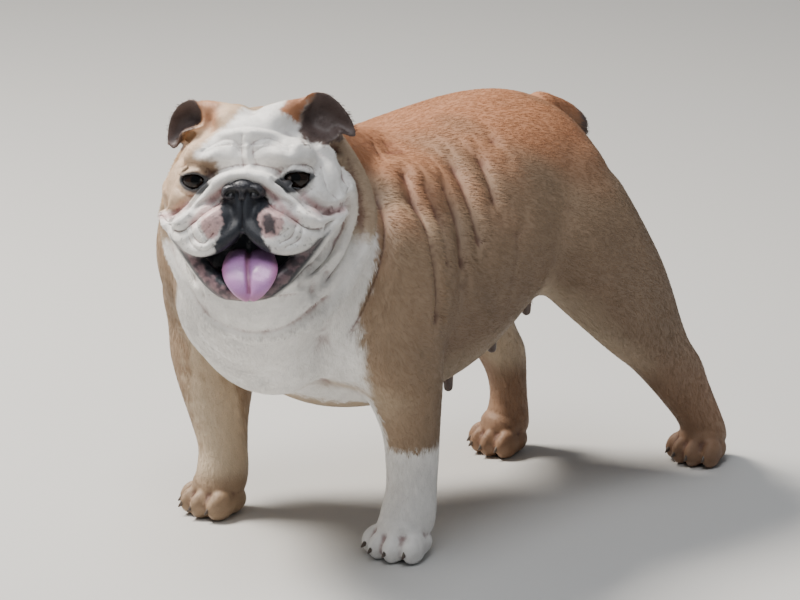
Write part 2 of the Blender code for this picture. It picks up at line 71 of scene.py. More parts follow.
# From the modelling frame to the finished model.
LIFE_SIZE = 0.96
TO_ORIGIN = Vector((-0.0051530, -0.1101004, 0.0))

# Eyeballs: for the left, 1, and the right, -1, the centre in the head's own frame in millimetres, outwards from the
# middle, and the radius of both.
EYES = {1: (41.5, -34.0, -0.5), -1: (46.5, -33.0, -0.5)}
EYE_RADIUS = 13.3

# Fineness of the skin: the clay's voxels in metres, and about how many triangles the face and the rest keep.
SKIN_VOXEL = 0.0016
FACE_TRIANGLES = 98000
BODY_TRIANGLES = 98000

# Lengths of the hair on the trunk, head, face and feet, and how much shorter it is on the legs, in metres.
TRUNK_HAIR = 0.0070
LEG_HAIR_LESS = 0.0014
HEAD_HAIR = 0.0036
FACE_HAIR = 0.0024
FOOT_HAIR = 0.0030

# Shares of a tuft's length that its half width and its rise take, least and most.
TUFT_WIDTH = (0.022, 0.040)
TUFT_RISE = (0.010, 0.045)
# Half the size of a tuft's patch in the unwrap, and the faces of the coarse copy that is unwrapped.
TUFT_PATCH = 0.0015
CHART_FACES = 9000

# The camera: what it looks at and from how far, in metres, its angles in degrees, and its lens in millimetres.
CAMERA_AIM = Vector((0.009247, -0.018866, 0.20064))
CAMERA_AWAY = 3.84
CAMERA_AROUND = 50.0
CAMERA_ABOVE = 15.5
CAMERA_LENS = 194.4

FLESH = (
    "head", "jaw", "neck", "trunk", "tail", "ear_left", "ear_right", "leg_front_left", "leg_front_right",
    "leg_hind_left", "leg_hind_right", "paw_front_left", "paw_front_right", "paw_hind_left", "paw_hind_right")


# Clay: closed masses that are fused and smoothed

def ball(clay, centre, radii, turn=(0, 0, 0)):
    """An ellipsoid of clay; turn is in degrees. Every ball is a copy of one unit sphere."""
    unit = bpy.data.meshes.get("unit_ball")
    if unit is None:
        unit = bpy.data.meshes.new("unit_ball")
        sphere = bmesh.new()
        bmesh.ops.create_uvsphere(sphere, u_segments=28, v_segments=18, radius=1)
        sphere.to_mesh(unit)
        sphere.free()
    spin = Euler([math.radians(angle) for angle in turn]).to_matrix().to_4x4()
    lump = unit.copy()
    lump.transform(Matrix.Translation(centre) @ spin @ Matrix.Diagonal((*radii, 1)))
    clay.from_mesh(lump)
    bpy.data.meshes.remove(lump)


def smooth_run(points, spacing):
    """The points with more between them, on a Catmull-Rom curve. A point may hold more than three numbers."""
    ends = [[2 * a - b for a, b in zip(points[0], points[1])], [2 * a - b for a, b in zip(points[-1], points[-2])]]
    padded = [ends[0], *points, ends[1]]
    found = []
    for i in range(1, len(padded) - 2):
        steps = max(1, math.ceil(math.dist(padded[i + 1][:3], padded[i][:3]) / spacing))
        for k in range(steps):
            t = k / steps
            found.append([
                0.5 * (2 * b + (c - a) * t + (2 * a - 5 * b + 4 * c - d) * t * t + (3 * b - 3 * c + d - a) * t ** 3)
                for a, b, c, d in zip(*padded[i - 1:i + 3])
            ])
    return found + [list(points[-1])]


def roll(clay, points):
    """A tapered roll of clay through points (x, y, z, radius)."""
    finest = min(point[3] for point in points)
    for x, y, z, radius in smooth_run(points, 0.4 * finest):
        ball(clay, (x, y, z), (radius, radius, radius))


def ring_of_edges(form, sides, radius, place):
    """A new circle in the form, as its edges in order."""
    verts = bmesh.ops.create_circle(form, segments=sides, radius=radius, matrix=place)["verts"]
    return list(dict.fromkeys(edge for vert in verts for edge in vert.link_edges))


def close_rings(form, rings):
    """Walls from each ring to the next and a cap at both ends."""
    for one, other in zip(rings, rings[1:]):
        bmesh.ops.bridge_loops(form, edges=one + other)
    for end in (rings[0], rings[-1]):
        bmesh.ops.contextual_create(form, geom=end)


def loft(clay, sections, across, sides=40):
    """A closed form through rings. A section is (centre x, y, z, half size one way, half size the other)."""
    spin = Matrix.Rotation(math.radians(90), 4, "X") if across == "Y" else Matrix.Identity(4)
    form = bmesh.new()
    rings = [
        ring_of_edges(form, sides, 1, Matrix.Translation((x, y, z)) @ spin @ Matrix.Diagonal((first, second, 1, 1)))
        for x, y, z, first, second in smooth_run(sections, 0.010)]
    close_rings(form, rings)
    bmesh.ops.recalc_face_normals(form, faces=form.faces)
    mesh = bpy.data.meshes.new("form")
    form.to_mesh(mesh)
    form.free()
    clay.from_mesh(mesh)
    bpy.data.meshes.remove(mesh)


def both_sides(shape):
    """Calls shape(side) for the dog's left, +1, and its right, -1."""
    for side in (1, -1):
        shape(side)


def add_smooth(item, rounds):
    """Adds a Smooth modifier of that many rounds."""
    smooth = item.modifiers.new("smooth", "SMOOTH")
    smooth.factor = 0.5
    smooth.iterations = rounds
    return smooth


def fused(name, clay, voxel, rounds):
    """The clay as one closed mesh object: voxels of that size, smoothed that many times."""
    mesh = bpy.data.meshes.new(name)
    clay.to_mesh(mesh)
    clay.free()
    raw = bpy.data.objects.new(name + "_raw", mesh)
    bpy.context.collection.objects.link(raw)
    remesh = raw.modifiers.new("voxels", "REMESH")
    remesh.mode = "VOXEL"
    remesh.voxel_size = voxel
    add_smooth(raw, rounds)
    done = baked(raw, name)
    bpy.data.objects.remove(raw)
    return done


def baked(item, name):
    """A new object from the item's mesh with its modifiers applied."""
    evaluated = item.evaluated_get(bpy.context.evaluated_depsgraph_get())
    done = bpy.data.objects.new(name, bpy.data.meshes.new_from_object(evaluated))
    bpy.context.collection.objects.link(done)
    return done


def clay_of(*items):
    """One bmesh of several objects' meshes, each with its own placing; the objects are removed."""
    clay = bmesh.new()
    for item, place in items:
        item.data.transform(place)
        clay.from_mesh(item.data)
        bpy.data.objects.remove(item)
    return clay


# The body's masses

def trunk_clay(clay):
    """Barrel, chest and rump as one loft along the spine, with the shoulder and hip muscles on it."""
    stations = (
        (GIRDLE_X, -0.108, 0.264, 0.204, 0.050),
        (-0.006, -0.085, 0.314, 0.172, 0.089),
        (-0.008, -0.045, 0.347, 0.147, 0.119),
        (GIRDLE_X, 0.000, WITHERS_Z - 0.002, BRISKET_Z + 0.010, 0.137),
        (-0.008, 0.050, WITHERS_Z + 0.003, BRISKET_Z + 0.002, 0.140),
        (-0.005, 0.100, 0.373, 0.119, 0.137),
        (-0.002, 0.150, 0.382, 0.137, 0.128),
        (0.000, 0.200, LOIN_Z, 0.170, 0.114),
        (0.000, 0.245, 0.385, 0.195, 0.104),
        (0.000, 0.280, 0.371, 0.208, 0.092),
        (0.000, 0.305, 0.346, 0.222, 0.075),
        (0.000, 0.324, 0.312, 0.252, 0.043),
    )
    loft(clay, [
        (x, y, (top + bottom) / 2, half, (top - bottom) / 2) for x, y, top, bottom, half in stations], "Y")

    def muscles(side):
        ball(clay, (GIRDLE_X + side * 0.103, 0.005, 0.245), (0.060, 0.085, 0.092), (8, side * 12, 0))
        ball(clay, (GIRDLE_X + side * 0.070, 0.040, 0.298), (0.056, 0.090, 0.064))
        ball(clay, (side * 0.054, 0.246, 0.298), (0.052, 0.063, 0.057))
    both_sides(muscles)
    ball(clay, (0.012, -0.068, 0.222), (0.096, 0.046, 0.072))


def leg_clay(clay, side, sections):
    """A leg as level sections: x outwards, y, z, half width and half depth."""
    loft(clay, [(side * x, y, z, half, deep) for x, y, z, half, deep in sections], "Z", sides=32)


LEFT_FORE = (
    (0.096, 0.000, 0.259, 0.050, 0.062),
    (0.108, -0.002, 0.214, 0.047, 0.057),
    (0.112, 0.010, 0.174, 0.040, 0.046),
    (0.110, 0.022, 0.147, 0.032, 0.036),
    (0.107, 0.031, 0.115, 0.0265, 0.0290),
    (0.105, 0.034, 0.086, 0.0250, 0.0265),
    (0.104, 0.034, 0.060, 0.0240, 0.0255),
    (0.104, 0.030, 0.038, 0.0260, 0.0290),
    (0.104, 0.026, 0.018, 0.0255, 0.0285),
)
RIGHT_FORE = (
    (0.113, 0.000, 0.259, 0.050, 0.066),
    (0.128, -0.002, 0.214, 0.050, 0.062),
    (0.133, -0.004, 0.174, 0.044, 0.050),
    (0.133, -0.008, 0.147, 0.039, 0.046),
    (0.123, -0.014, 0.115, 0.0330, 0.0380),
    (0.114, -0.018, 0.086, 0.0270, 0.0300),
    (0.106, -0.020, 0.060, 0.0235, 0.0255),
    (0.103, -0.024, 0.038, 0.0245, 0.0280),
    (0.103, -0.028, 0.018, 0.0245, 0.0280),
)
LEFT_HIND = (
    (0.060, 0.250, 0.308, 0.050, 0.062),
    (0.070, 0.254, 0.270, 0.054, 0.078),
    (0.077, 0.278, 0.225, 0.050, 0.078),
    (0.080, 0.304, 0.190, 0.042, 0.068),
    (0.082, 0.328, 0.158, 0.035, 0.056),
    (0.081, 0.351, 0.132, 0.029, 0.048),
    (0.079, 0.375, 0.110, 0.0245, 0.043),
    (0.077, 0.394, 0.086, 0.0220, 0.036),
    (0.074, 0.416, 0.058, 0.0210, 0.030),
    (0.073, 0.432, 0.034, 0.0225, 0.025),
    (0.073, 0.434, 0.016, 0.0235, 0.027),
)
RIGHT_HIND = (
    (0.060, 0.250, 0.308, 0.050, 0.062),
    (0.068, 0.240, 0.270, 0.054, 0.074),
    (0.073, 0.238, 0.225, 0.050, 0.068),
    (0.076, 0.244, 0.190, 0.042, 0.056),
    (0.077, 0.258, 0.158, 0.035, 0.046),
    (0.077, 0.278, 0.130, 0.028, 0.036),
    (0.076, 0.297, 0.106, 0.0225, 0.031),
    (0.075, 0.306, 0.082, 0.0200, 0.0235),
    (0.074, 0.309, 0.056, 0.0185, 0.0210),
    (0.074, 0.307, 0.034, 0.0215, 0.025),
    (0.074, 0.305, 0.016, 0.0225, 0.027),
)

# Each foot: name, x and y where the leg comes down, size, and outward turn in degrees.
FEET = (
    ("front_left", 0.104, 0.028, 1.0, 8),
    ("front_right", -0.103, -0.024, 1.0, -8),
    ("hind_left", 0.073, 0.434, 0.92, 6),
    ("hind_right", -0.074, 0.306, 0.92, -6),
)
# Toes of one paw: how far out and how far ahead of its leg.
TOES = ((-0.0230, 0.0150), (-0.0080, 0.0240), (0.0080, 0.0240), (0.0230, 0.0150))


def foot_frame(x, y, size, turn):
    """The matrix from a paw's own frame, toes along -Y, to the body's."""
    return Matrix.Translation((x, y, 0)) @ Matrix.Rotation(math.radians(turn), 4, "Z") @ Matrix.Diagonal(
        (size, size, 1, 1))


def paw_clay(clay):
    """Four split toes and the pads behind them, in the paw's own frame."""
    for across, ahead in TOES:
        ball(clay, (across, -ahead, 0.0125), (0.0100, 0.0175, 0.0150), (10, 0, across * 500))
    ball(clay, (0, -0.002, 0.013), (0.0275, 0.0250, 0.018))
    ball(clay, (0, -0.006, 0.028), (0.0245, 0.0240, 0.019))


def tail_clay(clay):
    """A short screwed tail, lying over the rump."""
    roll(clay, [
        (0.000, 0.280, 0.359, 0.019),
        (0.000, 0.302, 0.355, 0.014),
        (0.001, 0.316, 0.350, 0.0110),
        (0.003, 0.326, 0.342, 0.0095),
        (0.004, 0.329, 0.333, 0.0080),
    ])


# Tips of the teats on the dog's left; the right ones mirror them.
TEATS = ((0.0450, 0.2250, 0.1815), (0.0490, 0.1785, 0.1545), (0.0490, 0.1250, 0.1270))


def teat_clay(clay):
    """Three pairs of teats, hanging from the belly."""
    def half(side):
        for x, y, z in TEATS:
            roll(clay, [
                (side * x * 0.95, y, z + 0.018, 0.0080), (side * x, y, z + 0.007, 0.0060),
                (side * x, y, z, 0.0058)])
    both_sides(half)


def head_frame():
    """The matrix from the head's own frame, in which the face looks along -Y, to the body's."""
    yaw = Matrix.Rotation(math.radians(HEAD_YAW), 4, "Z")
    pitch = Matrix.Rotation(math.radians(-HEAD_PITCH), 4, "X")
    tilt = Matrix.Rotation(math.radians(HEAD_ROLL), 4, "Y")
    return Matrix.Translation(HEAD_CENTRE) @ yaw @ pitch @ tilt


def neck_clay(clay):
    """The short thick neck, from the withers to the back of the skull, and the throat."""
    at_head = head_frame()
    skull = at_head @ Vector((0, 0.030, -0.022))
    crest = at_head @ Vector((0, 0.038, 0.004))
    throat = at_head @ Vector((0, 0.004, -0.080))
    roll(clay, [
        (GIRDLE_X, 0.040, 0.268, 0.092),
        (0.005, -0.030, 0.283, 0.100),
        (0.036, -0.076, 0.314, 0.094),
        (*skull, 0.079),
    ])
    roll(clay, [
        (GIRDLE_X, 0.090, 0.314, 0.056),
        (0.006, 0.030, 0.321, 0.062),
        (0.030, -0.034, 0.345, 0.062),
        (*crest, 0.054),
    ])
    roll(clay, [
        (GIRDLE_X, -0.030, 0.230, 0.088),
        (0.030, -0.078, 0.258, 0.082),
        (*throat, 0.060),
    ])


def mm_ball(clay, centre, radii, turn=(0, 0, 0)):
    """A ball given in millimetres."""
    ball(clay, [v * MM for v in centre], [v * MM for v in radii], turn)


def mm_roll(clay, points, side=1):
    """A roll given in millimetres, mirrored when side is below 0 and drawn in when it is a fraction."""
    roll(clay, [(side * x * MM, y * MM, z * MM, r * MM) for x, y, z, r in points])


def skull_clay(clay):
    """Skull, cheeks, brow and muzzle, in the head's own frame and in millimetres."""
    mm_ball(clay, (0, 12, 8), (68, 62, 48))
    mm_ball(clay, (0, -22, 24), (38, 26, 30))
    mm_ball(clay, (0, -42, -16), (44, 30, 20))
    mm_ball(clay, (0, 6, -66), (52, 44, 28))

    def half(side):
        mm_ball(clay, (side * 19, 4, 47), (20, 34, 16))
        mm_ball(clay, (side * 34, -30, 20), (26, 19, 16), (0, side * 8, 0))
        mm_ball(clay, (side * 50, -26, -16), (26, 21, 16))
        mm_ball(clay, (side * 55, -2, -18), (29, 38, 40))
        mm_ball(clay, (side * 44, 6, -46), (34, 40, 32))
    both_sides(half)


def face_clay(clay):
    """The rolls of the face: nose wrinkle, cheek folds, lids, upper lips and their margins."""
    mm_ball(clay, (0, -62, -10), (19, 12, 14))
    mm_roll(clay, [(0, -68, -16, 9), (0, -71, -26, 8), (0, -70, -32, 6)])

    def half(side):
        mm_ball(clay, (side * 24, -65, -37), (22, 18, 22), (0, 0, side * -12))
        mm_ball(clay, (side * 45, -53, -41), (24, 21, 20), (0, side * 10, side * 30))
        mm_roll(clay, [
            (0, -72, -32, 6), (11, -77, -44, 7), (24, -77, -52, 8.5), (38, -71, -55, 8.5),
            (52, -60, -52, 8), (63, -46, -47, 7), (71, -32, -41, 5.5)], side)
        mm_roll(clay, [
            (0, -67, 7, 5.5), (17, -64, 2.5, 6.5), (33, -58, -10, 8), (45, -52, -24, 8.5),
            (57, -46, -34.5, 8.5), (71, -35, -38, 8), (79, -24, -31, 6)], side)
        mm_roll(clay, [
            (36, -47, -10, 5), (50, -42, -17, 6.5), (62, -35, -21.5, 7), (74, -25, -21, 7.5),
            (82, -10, -12, 9)], side if side > 0 else -0.93)
        eye = EYES[side][0]
        mm_roll(clay, [
            (eye - 13, -46, 1.5, 3), (eye - 7, -47.5, 6.5, 3.2), (eye, -47, 8, 3.2), (eye + 7, -43, 6, 3),
            (eye + 14, -35, 1, 2.5)], side)
        mm_roll(clay, [
            (eye - 13, -46, 0.5, 3), (eye - 7, -46.5, -6.5, 3), (eye, -46, -8.5, 3), (eye + 7, -42.5, -6.5, 3),
            (eye + 14, -35, 0, 2.5)], side)
    both_sides(half)


def jaw_clay(clay):
    """The dropped lower jaw: lip roll, chin and floor of the mouth."""
    mm_ball(clay, (0, -58, -92), (32, 20, 13))
    mm_ball(clay, (0, -34, -86), (44, 36, 16))

    def half(side):
        mm_roll(clay, [
            (0, -77, -93, 8.5), (17, -75, -91, 9), (32, -66, -81, 9), (44, -56, -69, 8.5),
            (56, -45, -57, 8), (66, -34, -47, 6.5), (72, -27, -42, 4.5)], side)
        mm_roll(clay, [(30, -32, -78, 12), (44, -32, -66, 12), (54, -28, -54, 12), (60, -22, -46, 10)], side)
    both_sides(half)


def fold_clay(clay):
    """The loose folds of skin that hang round the face and the neck, in the head's own frame."""
    def half(turned):
        side = turned if turned > 0 else -0.91
        mm_roll(clay, [
            (60, -10, 22, 8), (72, -4, 3, 10), (78, 2, -20, 10), (77, 2, -42, 10), (70, -5, -61, 9),
            (55, -17, -80, 9), (36, -28, -93, 8), (16, -32, -99, 8), (0, -33, -101, 8)], side)
        mm_roll(clay, [
            (70, 16, 8, 9), (80, 16, -22, 10), (80, 14, -46, 10), (74, 6, -70, 10), (61, -6, -92, 9),
            (42, -16, -108, 9), (20, -22, -116, 8), (0, -23, -118, 8)], side)
        mm_roll(clay, [
            (62, 34, 26, 12), (76, 30, 0, 14), (84, 30, -24, 15), (85, 28, -46, 15), (80, 24, -68, 15),
            (72, 18, -90, 14), (60, 10, -110, 13), (42, 2, -126, 12), (20, -4, -134, 11), (0, -6, -137, 11)], side)
    both_sides(half)


# The left ear's rim, round from where it leaves the brow, over the top and the tip, and back under.
EAR_RIM = (
    (38, -8, 40), (37, -6, 53), (43, -2, 64), (54, 1, 70.5), (67, 4, 66.5), (78, 7, 55), (85, 9, 42), (87, 8, 31),
    (80, 5, 33), (75, 3, 36), (72, 1, 30), (64, -4, 28), (54, -8, 30), (45, -9, 34),
)
# The right ear stands closer to the head, and is given mirrored to the left.
RIGHT_EAR_RIM = (
    (42, -8, 44), (43, -6, 56), (52, -2, 66), (60, 1, 65), (68, 4, 60), (75, 7, 50), (78, 8, 38), (78, 6, 28),
    (72, 3, 24), (68, 0, 30), (65, -2, 37), (58, -6, 40), (50, -8, 42),
)
EAR_BOWL = (57, 16, 44)
EAR_THICK = 2.4


def ear_clay(clay):
    """Folded rose ears: an open bowl of skin, its rim turned outwards and its tip hanging."""
    def half(side):
        rim = [(side * x, y, z) for x, y, z in (EAR_RIM if side > 0 else RIGHT_EAR_RIM)]
        bowl = Vector((side * EAR_BOWL[0], EAR_BOWL[1], EAR_BOWL[2]))
        for x, y, z in smooth_run([*rim, rim[0]], 2.6):
            edge = Vector((x, y, z))
            for k in range(12):
                t = k / 11
                spot = edge.lerp(bowl, t * 0.9)
                spot.y = y + (bowl.y - y) * math.sin(t * math.pi / 2)
                mm_ball(clay, spot, (EAR_THICK, EAR_THICK, EAR_THICK))
        mm_roll(clay, [(22, -2, 54, 10), (34, -1, 57, 9), (44, 3, 60, 7)], side)
        mm_ball(clay, (side * 56, 22, 38), (20, 14, 18))
    both_sides(half)


def whole_dog(voxel):
    """The whole body as one closed mesh."""
    here = Matrix.Identity(4)
    limbs = bmesh.new()
    trunk_clay(limbs)
    leg_clay(limbs, 1, LEFT_FORE)
    leg_clay(limbs, -1, RIGHT_FORE)
    leg_clay(limbs, 1, LEFT_HIND)
    leg_clay(limbs, -1, RIGHT_HIND)
    neck_clay(limbs)
    body = fused("body", limbs, 0.005, 12)

    toes = bmesh.new()
    paw_clay(toes)
    paw = fused("paw", toes, 0.0015, 3)
    feet = []
    for _, x, y, size, turn in FEET:
        foot = bpy.data.objects.new("foot", paw.data.copy())
        feet.append((foot, foot_frame(x, y, size, turn)))
    bpy.data.objects.remove(paw)

    bone = bmesh.new()
    skull_clay(bone)
    skull = fused("skull", bone, 0.003, 8)
    rolls = bmesh.new()
    face_clay(rolls)
    jaw_clay(rolls)
    face = fused("face", rolls, 0.0015, 3)
    loose = bmesh.new()
    fold_clay(loose)
    folds = fused("folds", loose, 0.002, 4)
    flaps = bmesh.new()
    ear_clay(flaps)
    ears = fused("ears", flaps, 0.0012, 2)
    stub = bmesh.new()
    tail_clay(stub)
    tail = fused("tail_clay", stub, 0.0015, 2)
    small = bmesh.new()
    teat_clay(small)
    teats = fused("teats_clay", small, 0.0012, 1)
    head = fused("head_clay", clay_of((skull, here), (face, here), (folds, here), (ears, here)), 0.0015, 4)
    return fused("dog", clay_of((body, here), (tail, here), (teats, here), *feet, (head, head_frame())), voxel, 3)


# Fields: numbers worked out for many points at once

def ramp(value, low, high):
    """0 below low, 1 above high, smooth between."""
    t = np.clip((value - low) / (high - low), 0.0, 1.0)
    return t * t * (3 - 2 * t)


def ripple(points, size, seed):
    """A soft random field of about -1 to 1 with bumps of that size."""
    chance = np.random.default_rng(seed)
    total = np.zeros(len(points))
    for _ in range(9):
        way = chance.normal(size=3)
        way /= np.linalg.norm(way)
        total += np.sin(points @ way * (2 * math.pi / size) * chance.uniform(0.6, 1.5) + chance.uniform(0, 6.28))
    return total / 3


def in_head(points):
    """The points in the head's own frame, in millimetres."""
    back = np.array(head_frame().inverted())
    return (points @ back[:3, :3].T + back[:3, 3]) / MM


def turned_to_head(ways):
    """The directions as the head's own frame has them."""
    return ways @ np.array(head_frame().inverted())[:3, :3].T


def near_curve(spots, points, spacing, normals=None):
    """Distance of each spot to a smooth curve. Given normals, height above or below the curve hardly counts."""
    dense = np.array(smooth_run([tuple(point) for point in points], spacing))
    best = np.full(len(spots), 1e9)
    for start, end in zip(dense[:-1], dense[1:]):
        along = end - start
        share = np.clip(((spots - start) @ along) / (along @ along), 0, 1)
        away = spots - start - share[:, None] * along
        if normals is not None:
            rise = np.sum(away * normals, axis=1)
            away = away - normals * (LEVEL_SHARE * np.clip(rise, -LEVEL_REACH, LEVEL_REACH))[:, None]
        best = np.minimum(best, np.linalg.norm(away, axis=1))
    return best


def crease(gap, width):
    """1 at the bottom of a crease and 0 away from it: a narrow valley between rounded lips."""
    return 1 - np.sqrt(np.clip(np.hypot(gap, 0.12 * width) / (3 * width), 0, 1))


def relief(gap, width, height):
    """Height of the skin at that distance from the middle of a crease, height below 0, or of a ridge."""
    return height * (crease(gap, width) if height < 0 else np.exp(-(gap / width) ** 2))


def run_out(spots, points, reach):
    """0 at both ends of a course of points and 1 from that distance on, so that a crease runs out softly."""
    ends = [np.linalg.norm(spots - np.array(point), axis=1) for point in (points[0], points[-1])]
    return ramp(np.minimum(*ends), 0, reach)


def patch(spots, outline, soft):
    """1 inside a flat outline and 0 outside it, with an edge of that softness."""
    corners = np.array(outline, float)
    inside = np.zeros(len(spots), bool)
    best = np.full(len(spots), 1e9)
    x, y = spots[:, 0], spots[:, 1]
    for (ax, ay), (bx, by) in zip(corners, np.roll(corners, -1, axis=0)):
        along = np.array((bx - ax, by - ay))
        share = np.clip(((x - ax) * along[0] + (y - ay) * along[1]) / (along @ along), 0, 1)
        best = np.minimum(best, np.hypot(x - ax - share * along[0], y - ay - share * along[1]))
        crosses = (ay > y) != (by > y)
        level = (y - ay) / (by - ay if by != ay else 1e-9)
        inside ^= crosses & (x < ax + level * (bx - ax))
    signed = np.where(inside, best, -best)
    return ramp(signed, -soft, soft)


# Grooves (negative) and ridges (positive) of the face, seen from in front: points (x, z), half width, height, in
# millimetres.
FACE_LINES = (
    (((-52, 34), (-34, 42.5), (-16, 46), (-1, 48), (13, 46), (27, 42), (38, 36)), 3.6, -3.6),
    (((-50, 27), (-36, 37), (-16, 41), (0, 42), (16, 41), (30, 37), (44, 29)), 3.2, 1.6),
    (((-39, 26), (-30, 33), (-20, 36), (-11, 34), (-7, 28)), 3.0, -3.0),
    (((2, 27), (7, 33), (17, 36), (28, 34), (38, 29)), 3.0, -3.0),
    (((-38, 15), (-30, 20), (-18, 21)), 6.0, 2.2),
    (((18, 21), (30, 20), (40, 14)), 6.0, 2.2),
    (((-36, 25), (-24, 30.5), (-11, 29), (-7, 25)), 1.7, -1.6),
    (((7, 24), (17, 28.5), (27, 28.5), (37, 25)), 1.7, -2.0),
    (((-4, 39), (-5, 29), (-4, 19), (-3, 12)), 2.8, -2.8),
    (((7, 31), (6, 22), (9, 13)), 2.8, -2.6),
    (((1, 30), (1, 20), (3, 13)), 2.2, 1.2),
    (((-34, 5), (-24, 9), (-10, 13), (0, 13.5), (10, 13), (24, 9), (32, 3)), 2.0, -2.6),
    (((-60, -33), (-46, -24), (-33, -9), (-17, 3), (0, 8), (17, 3), (32, -8), (44, -21), (58, -32)), 4.5, 3.0),
    (((30, 1), (38, -5), (45, -11), (52, -19), (60, -25.5), (68, -29), (79, -28)), 2.6, -8.0),
    (((-33, -1), (-44, -11), (-52, -20), (-61, -27), (-70, -31), (-80, -32)), 2.6, -7.8),
    (((16, -10), (26, -17), (36, -23), (45, -30), (52, -37), (60, -41.5), (68, -42), (75, -37)), 2.6, -8.0),
    (((-19, -12), (-29, -18), (-39, -26), (-48, -34), (-55, -40), (-64, -42), (-74, -39)), 2.6, -7.6),
    (((64, -36), (71, -34), (77, -28), (79, -20)), 3.5, 1.6),
    (((63, 9), (66, -2), (70, -11), (75, -17), (80, -24)), 2.2, -3.0),
    (((52, -6), (60, -12), (66, -18)), 2.0, -1.4),
    (((-66, 6), (-70, -6), (-75, -17), (-78, -23)), 2.2, -2.4),
    (((-46, -39), (-42, -47), (-33, -50), (-25, -42)), 1.3, -2.4),
    (((-41, -34), (-35, -41), (-28, -36)), 1.3, -2.2),
    (((-50, -42), (-44, -53), (-33, -57), (-24, -52)), 1.3, -2.0),
    (((37, -55), (48, -49), (52, -39), (47, -32)), 1.3, -2.4),
    (((33, -51), (41, -47), (46, -38)), 1.3, -2.2),
    (((33, -44), (39, -40)), 1.3, -1.8),
    (((-34, -30), (-36, -42), (-34, -50)), 11.0, 1.6),
    (((36, -30), (39, -42), (37, -50)), 11.0, 1.6),
    (((0, -13), (0, -24), (0, -38)), 1.2, -3.0),
    (((-62, 11), (-50, 15), (-38, 13), (-31, 6)), 2.0, -2.0),
    (((30, 6), (38, 12), (48, 12), (56, 6)), 2.0, -2.2),
    (((31, -8), (39, -12), (50, -12), (58, -7)), 1.6, -1.5),
    (((-35, -8), (-45, -13), (-56, -12), (-64, -6)), 1.6, -1.5),
)
# Creases and ridges of the cheek and throat folds on the dog's left, in the head's own frame: points (x, y, z), half
# width and height.
FOLD_LINES = (
    (((70, -1, 31), (76, -4, 14), (83, -10, 0), (86, -17, -15), (83, -11, -34), (78, -9, -48), (70, -15, -62),
      (59, -23, -77), (46, -33, -88)), 3.8, -9.5),
    (((74, 1, 33), (82, 10, 12), (86, 15, -4), (91, 15, -21), (91, 13, -41), (87, 7, -59), (79, -1, -74),
      (70, -10, -86), (56, -18, -97)), 4.4, -11.0),
    (((74, -8, 16), (80, -8, 4), (86, 3, -22), (86, 2, -42), (80, -4, -62), (68, -14, -78)), 4.5, 1.6),
    (((98, 24, -20), (100, 26, -44), (96, 20, -66), (88, 14, -86)), 6.0, 1.8),
)
# Grooves of the flank and the neck, seen from the side: points (y, z), half width and height, in metres.
FLANK_LINES = (
    (((0.042, 0.363), (0.035, 0.348), (0.027, 0.327), (0.018, 0.305)), 0.0036, -0.0026),
    (((0.047, 0.366), (0.039, 0.342), (0.034, 0.323), (0.028, 0.303), (0.027, 0.277), (0.029, 0.250), (0.031, 0.218)),
     0.0038, -0.0056),
    (((0.056, 0.354), (0.057, 0.337), (0.060, 0.315), (0.052, 0.294), (0.047, 0.266)), 0.0038, -0.0056),
    (((0.084, 0.350), (0.083, 0.334), (0.082, 0.313), (0.078, 0.289), (0.072, 0.258)), 0.0038, -0.0052),
    (((0.107, 0.360), (0.105, 0.342), (0.102, 0.323), (0.100, 0.303), (0.098, 0.274)), 0.0040, -0.0056),
    (((0.137, 0.363), (0.135, 0.350), (0.132, 0.333), (0.129, 0.319), (0.124, 0.306)), 0.0040, -0.0048),
    (((0.158, 0.374), (0.160, 0.363), (0.157, 0.350)), 0.0040, -0.0032),
    (((0.055, 0.374), (0.071, 0.362), (0.068, 0.354)), 0.0036, -0.0018),
    (((0.078, 0.372), (0.092, 0.365), (0.099, 0.355)), 0.0036, -0.0018),
    (((0.147, 0.300), (0.143, 0.257), (0.130, 0.229)), 0.0090, -0.0026),
)
# Where the outermost neck fold meets the shoulder, in the body's frame; its half width and height in millimetres.
COLLAR = ((0.0860, 0.0080, 0.3530), (0.1250, -0.0140, 0.3280), (0.1365, -0.0230, 0.3111), (0.1420, -0.0320, 0.2937),
          (0.1420, -0.0425, 0.2700), (0.1350, -0.0520, 0.2427), (0.1230, -0.0640, 0.2200))
COLLAR_WIDTH = 5.0
COLLAR_HEIGHT = -9.0

# How far from its ends a crease runs out: on the folds in millimetres, at the collar and on the flank in metres.
FOLD_RUN_OUT = 16
COLLAR_RUN_OUT = 0.030
FLANK_RUN_OUT = 0.016

# Share of its height above or below a curve that a spot is taken to lie level with, and the most, in millimetres.
LEVEL_SHARE = 0.92
LEVEL_REACH = 15

# What the colour is multiplied by at the deepest of a crease: painted shade, partly the redder skin that shows there.
CREASE_SHADE_TINT = (0.42, 0.31, 0.31)


def opening(spots, side):
    """How far each spot, in the head's frame, is inside the eye opening: 1 well inside, 0 well outside."""
    outline = (
        (-10.0, -1.0), (-7.0, 2.2), (-3.5, 4.3), (1, 4.9), (5.5, 3.9), (10.5, 1.0), (7.0, -2.6), (3.5, -4.6),
        (0, -5.4), (-4.5, -4.9), (-8, -3.2))
    out = EYES[side][0]
    return patch(spots[:, [0, 2]], [(side * (x + out), z + EYES[side][2]) for x, z in outline], 0.7)


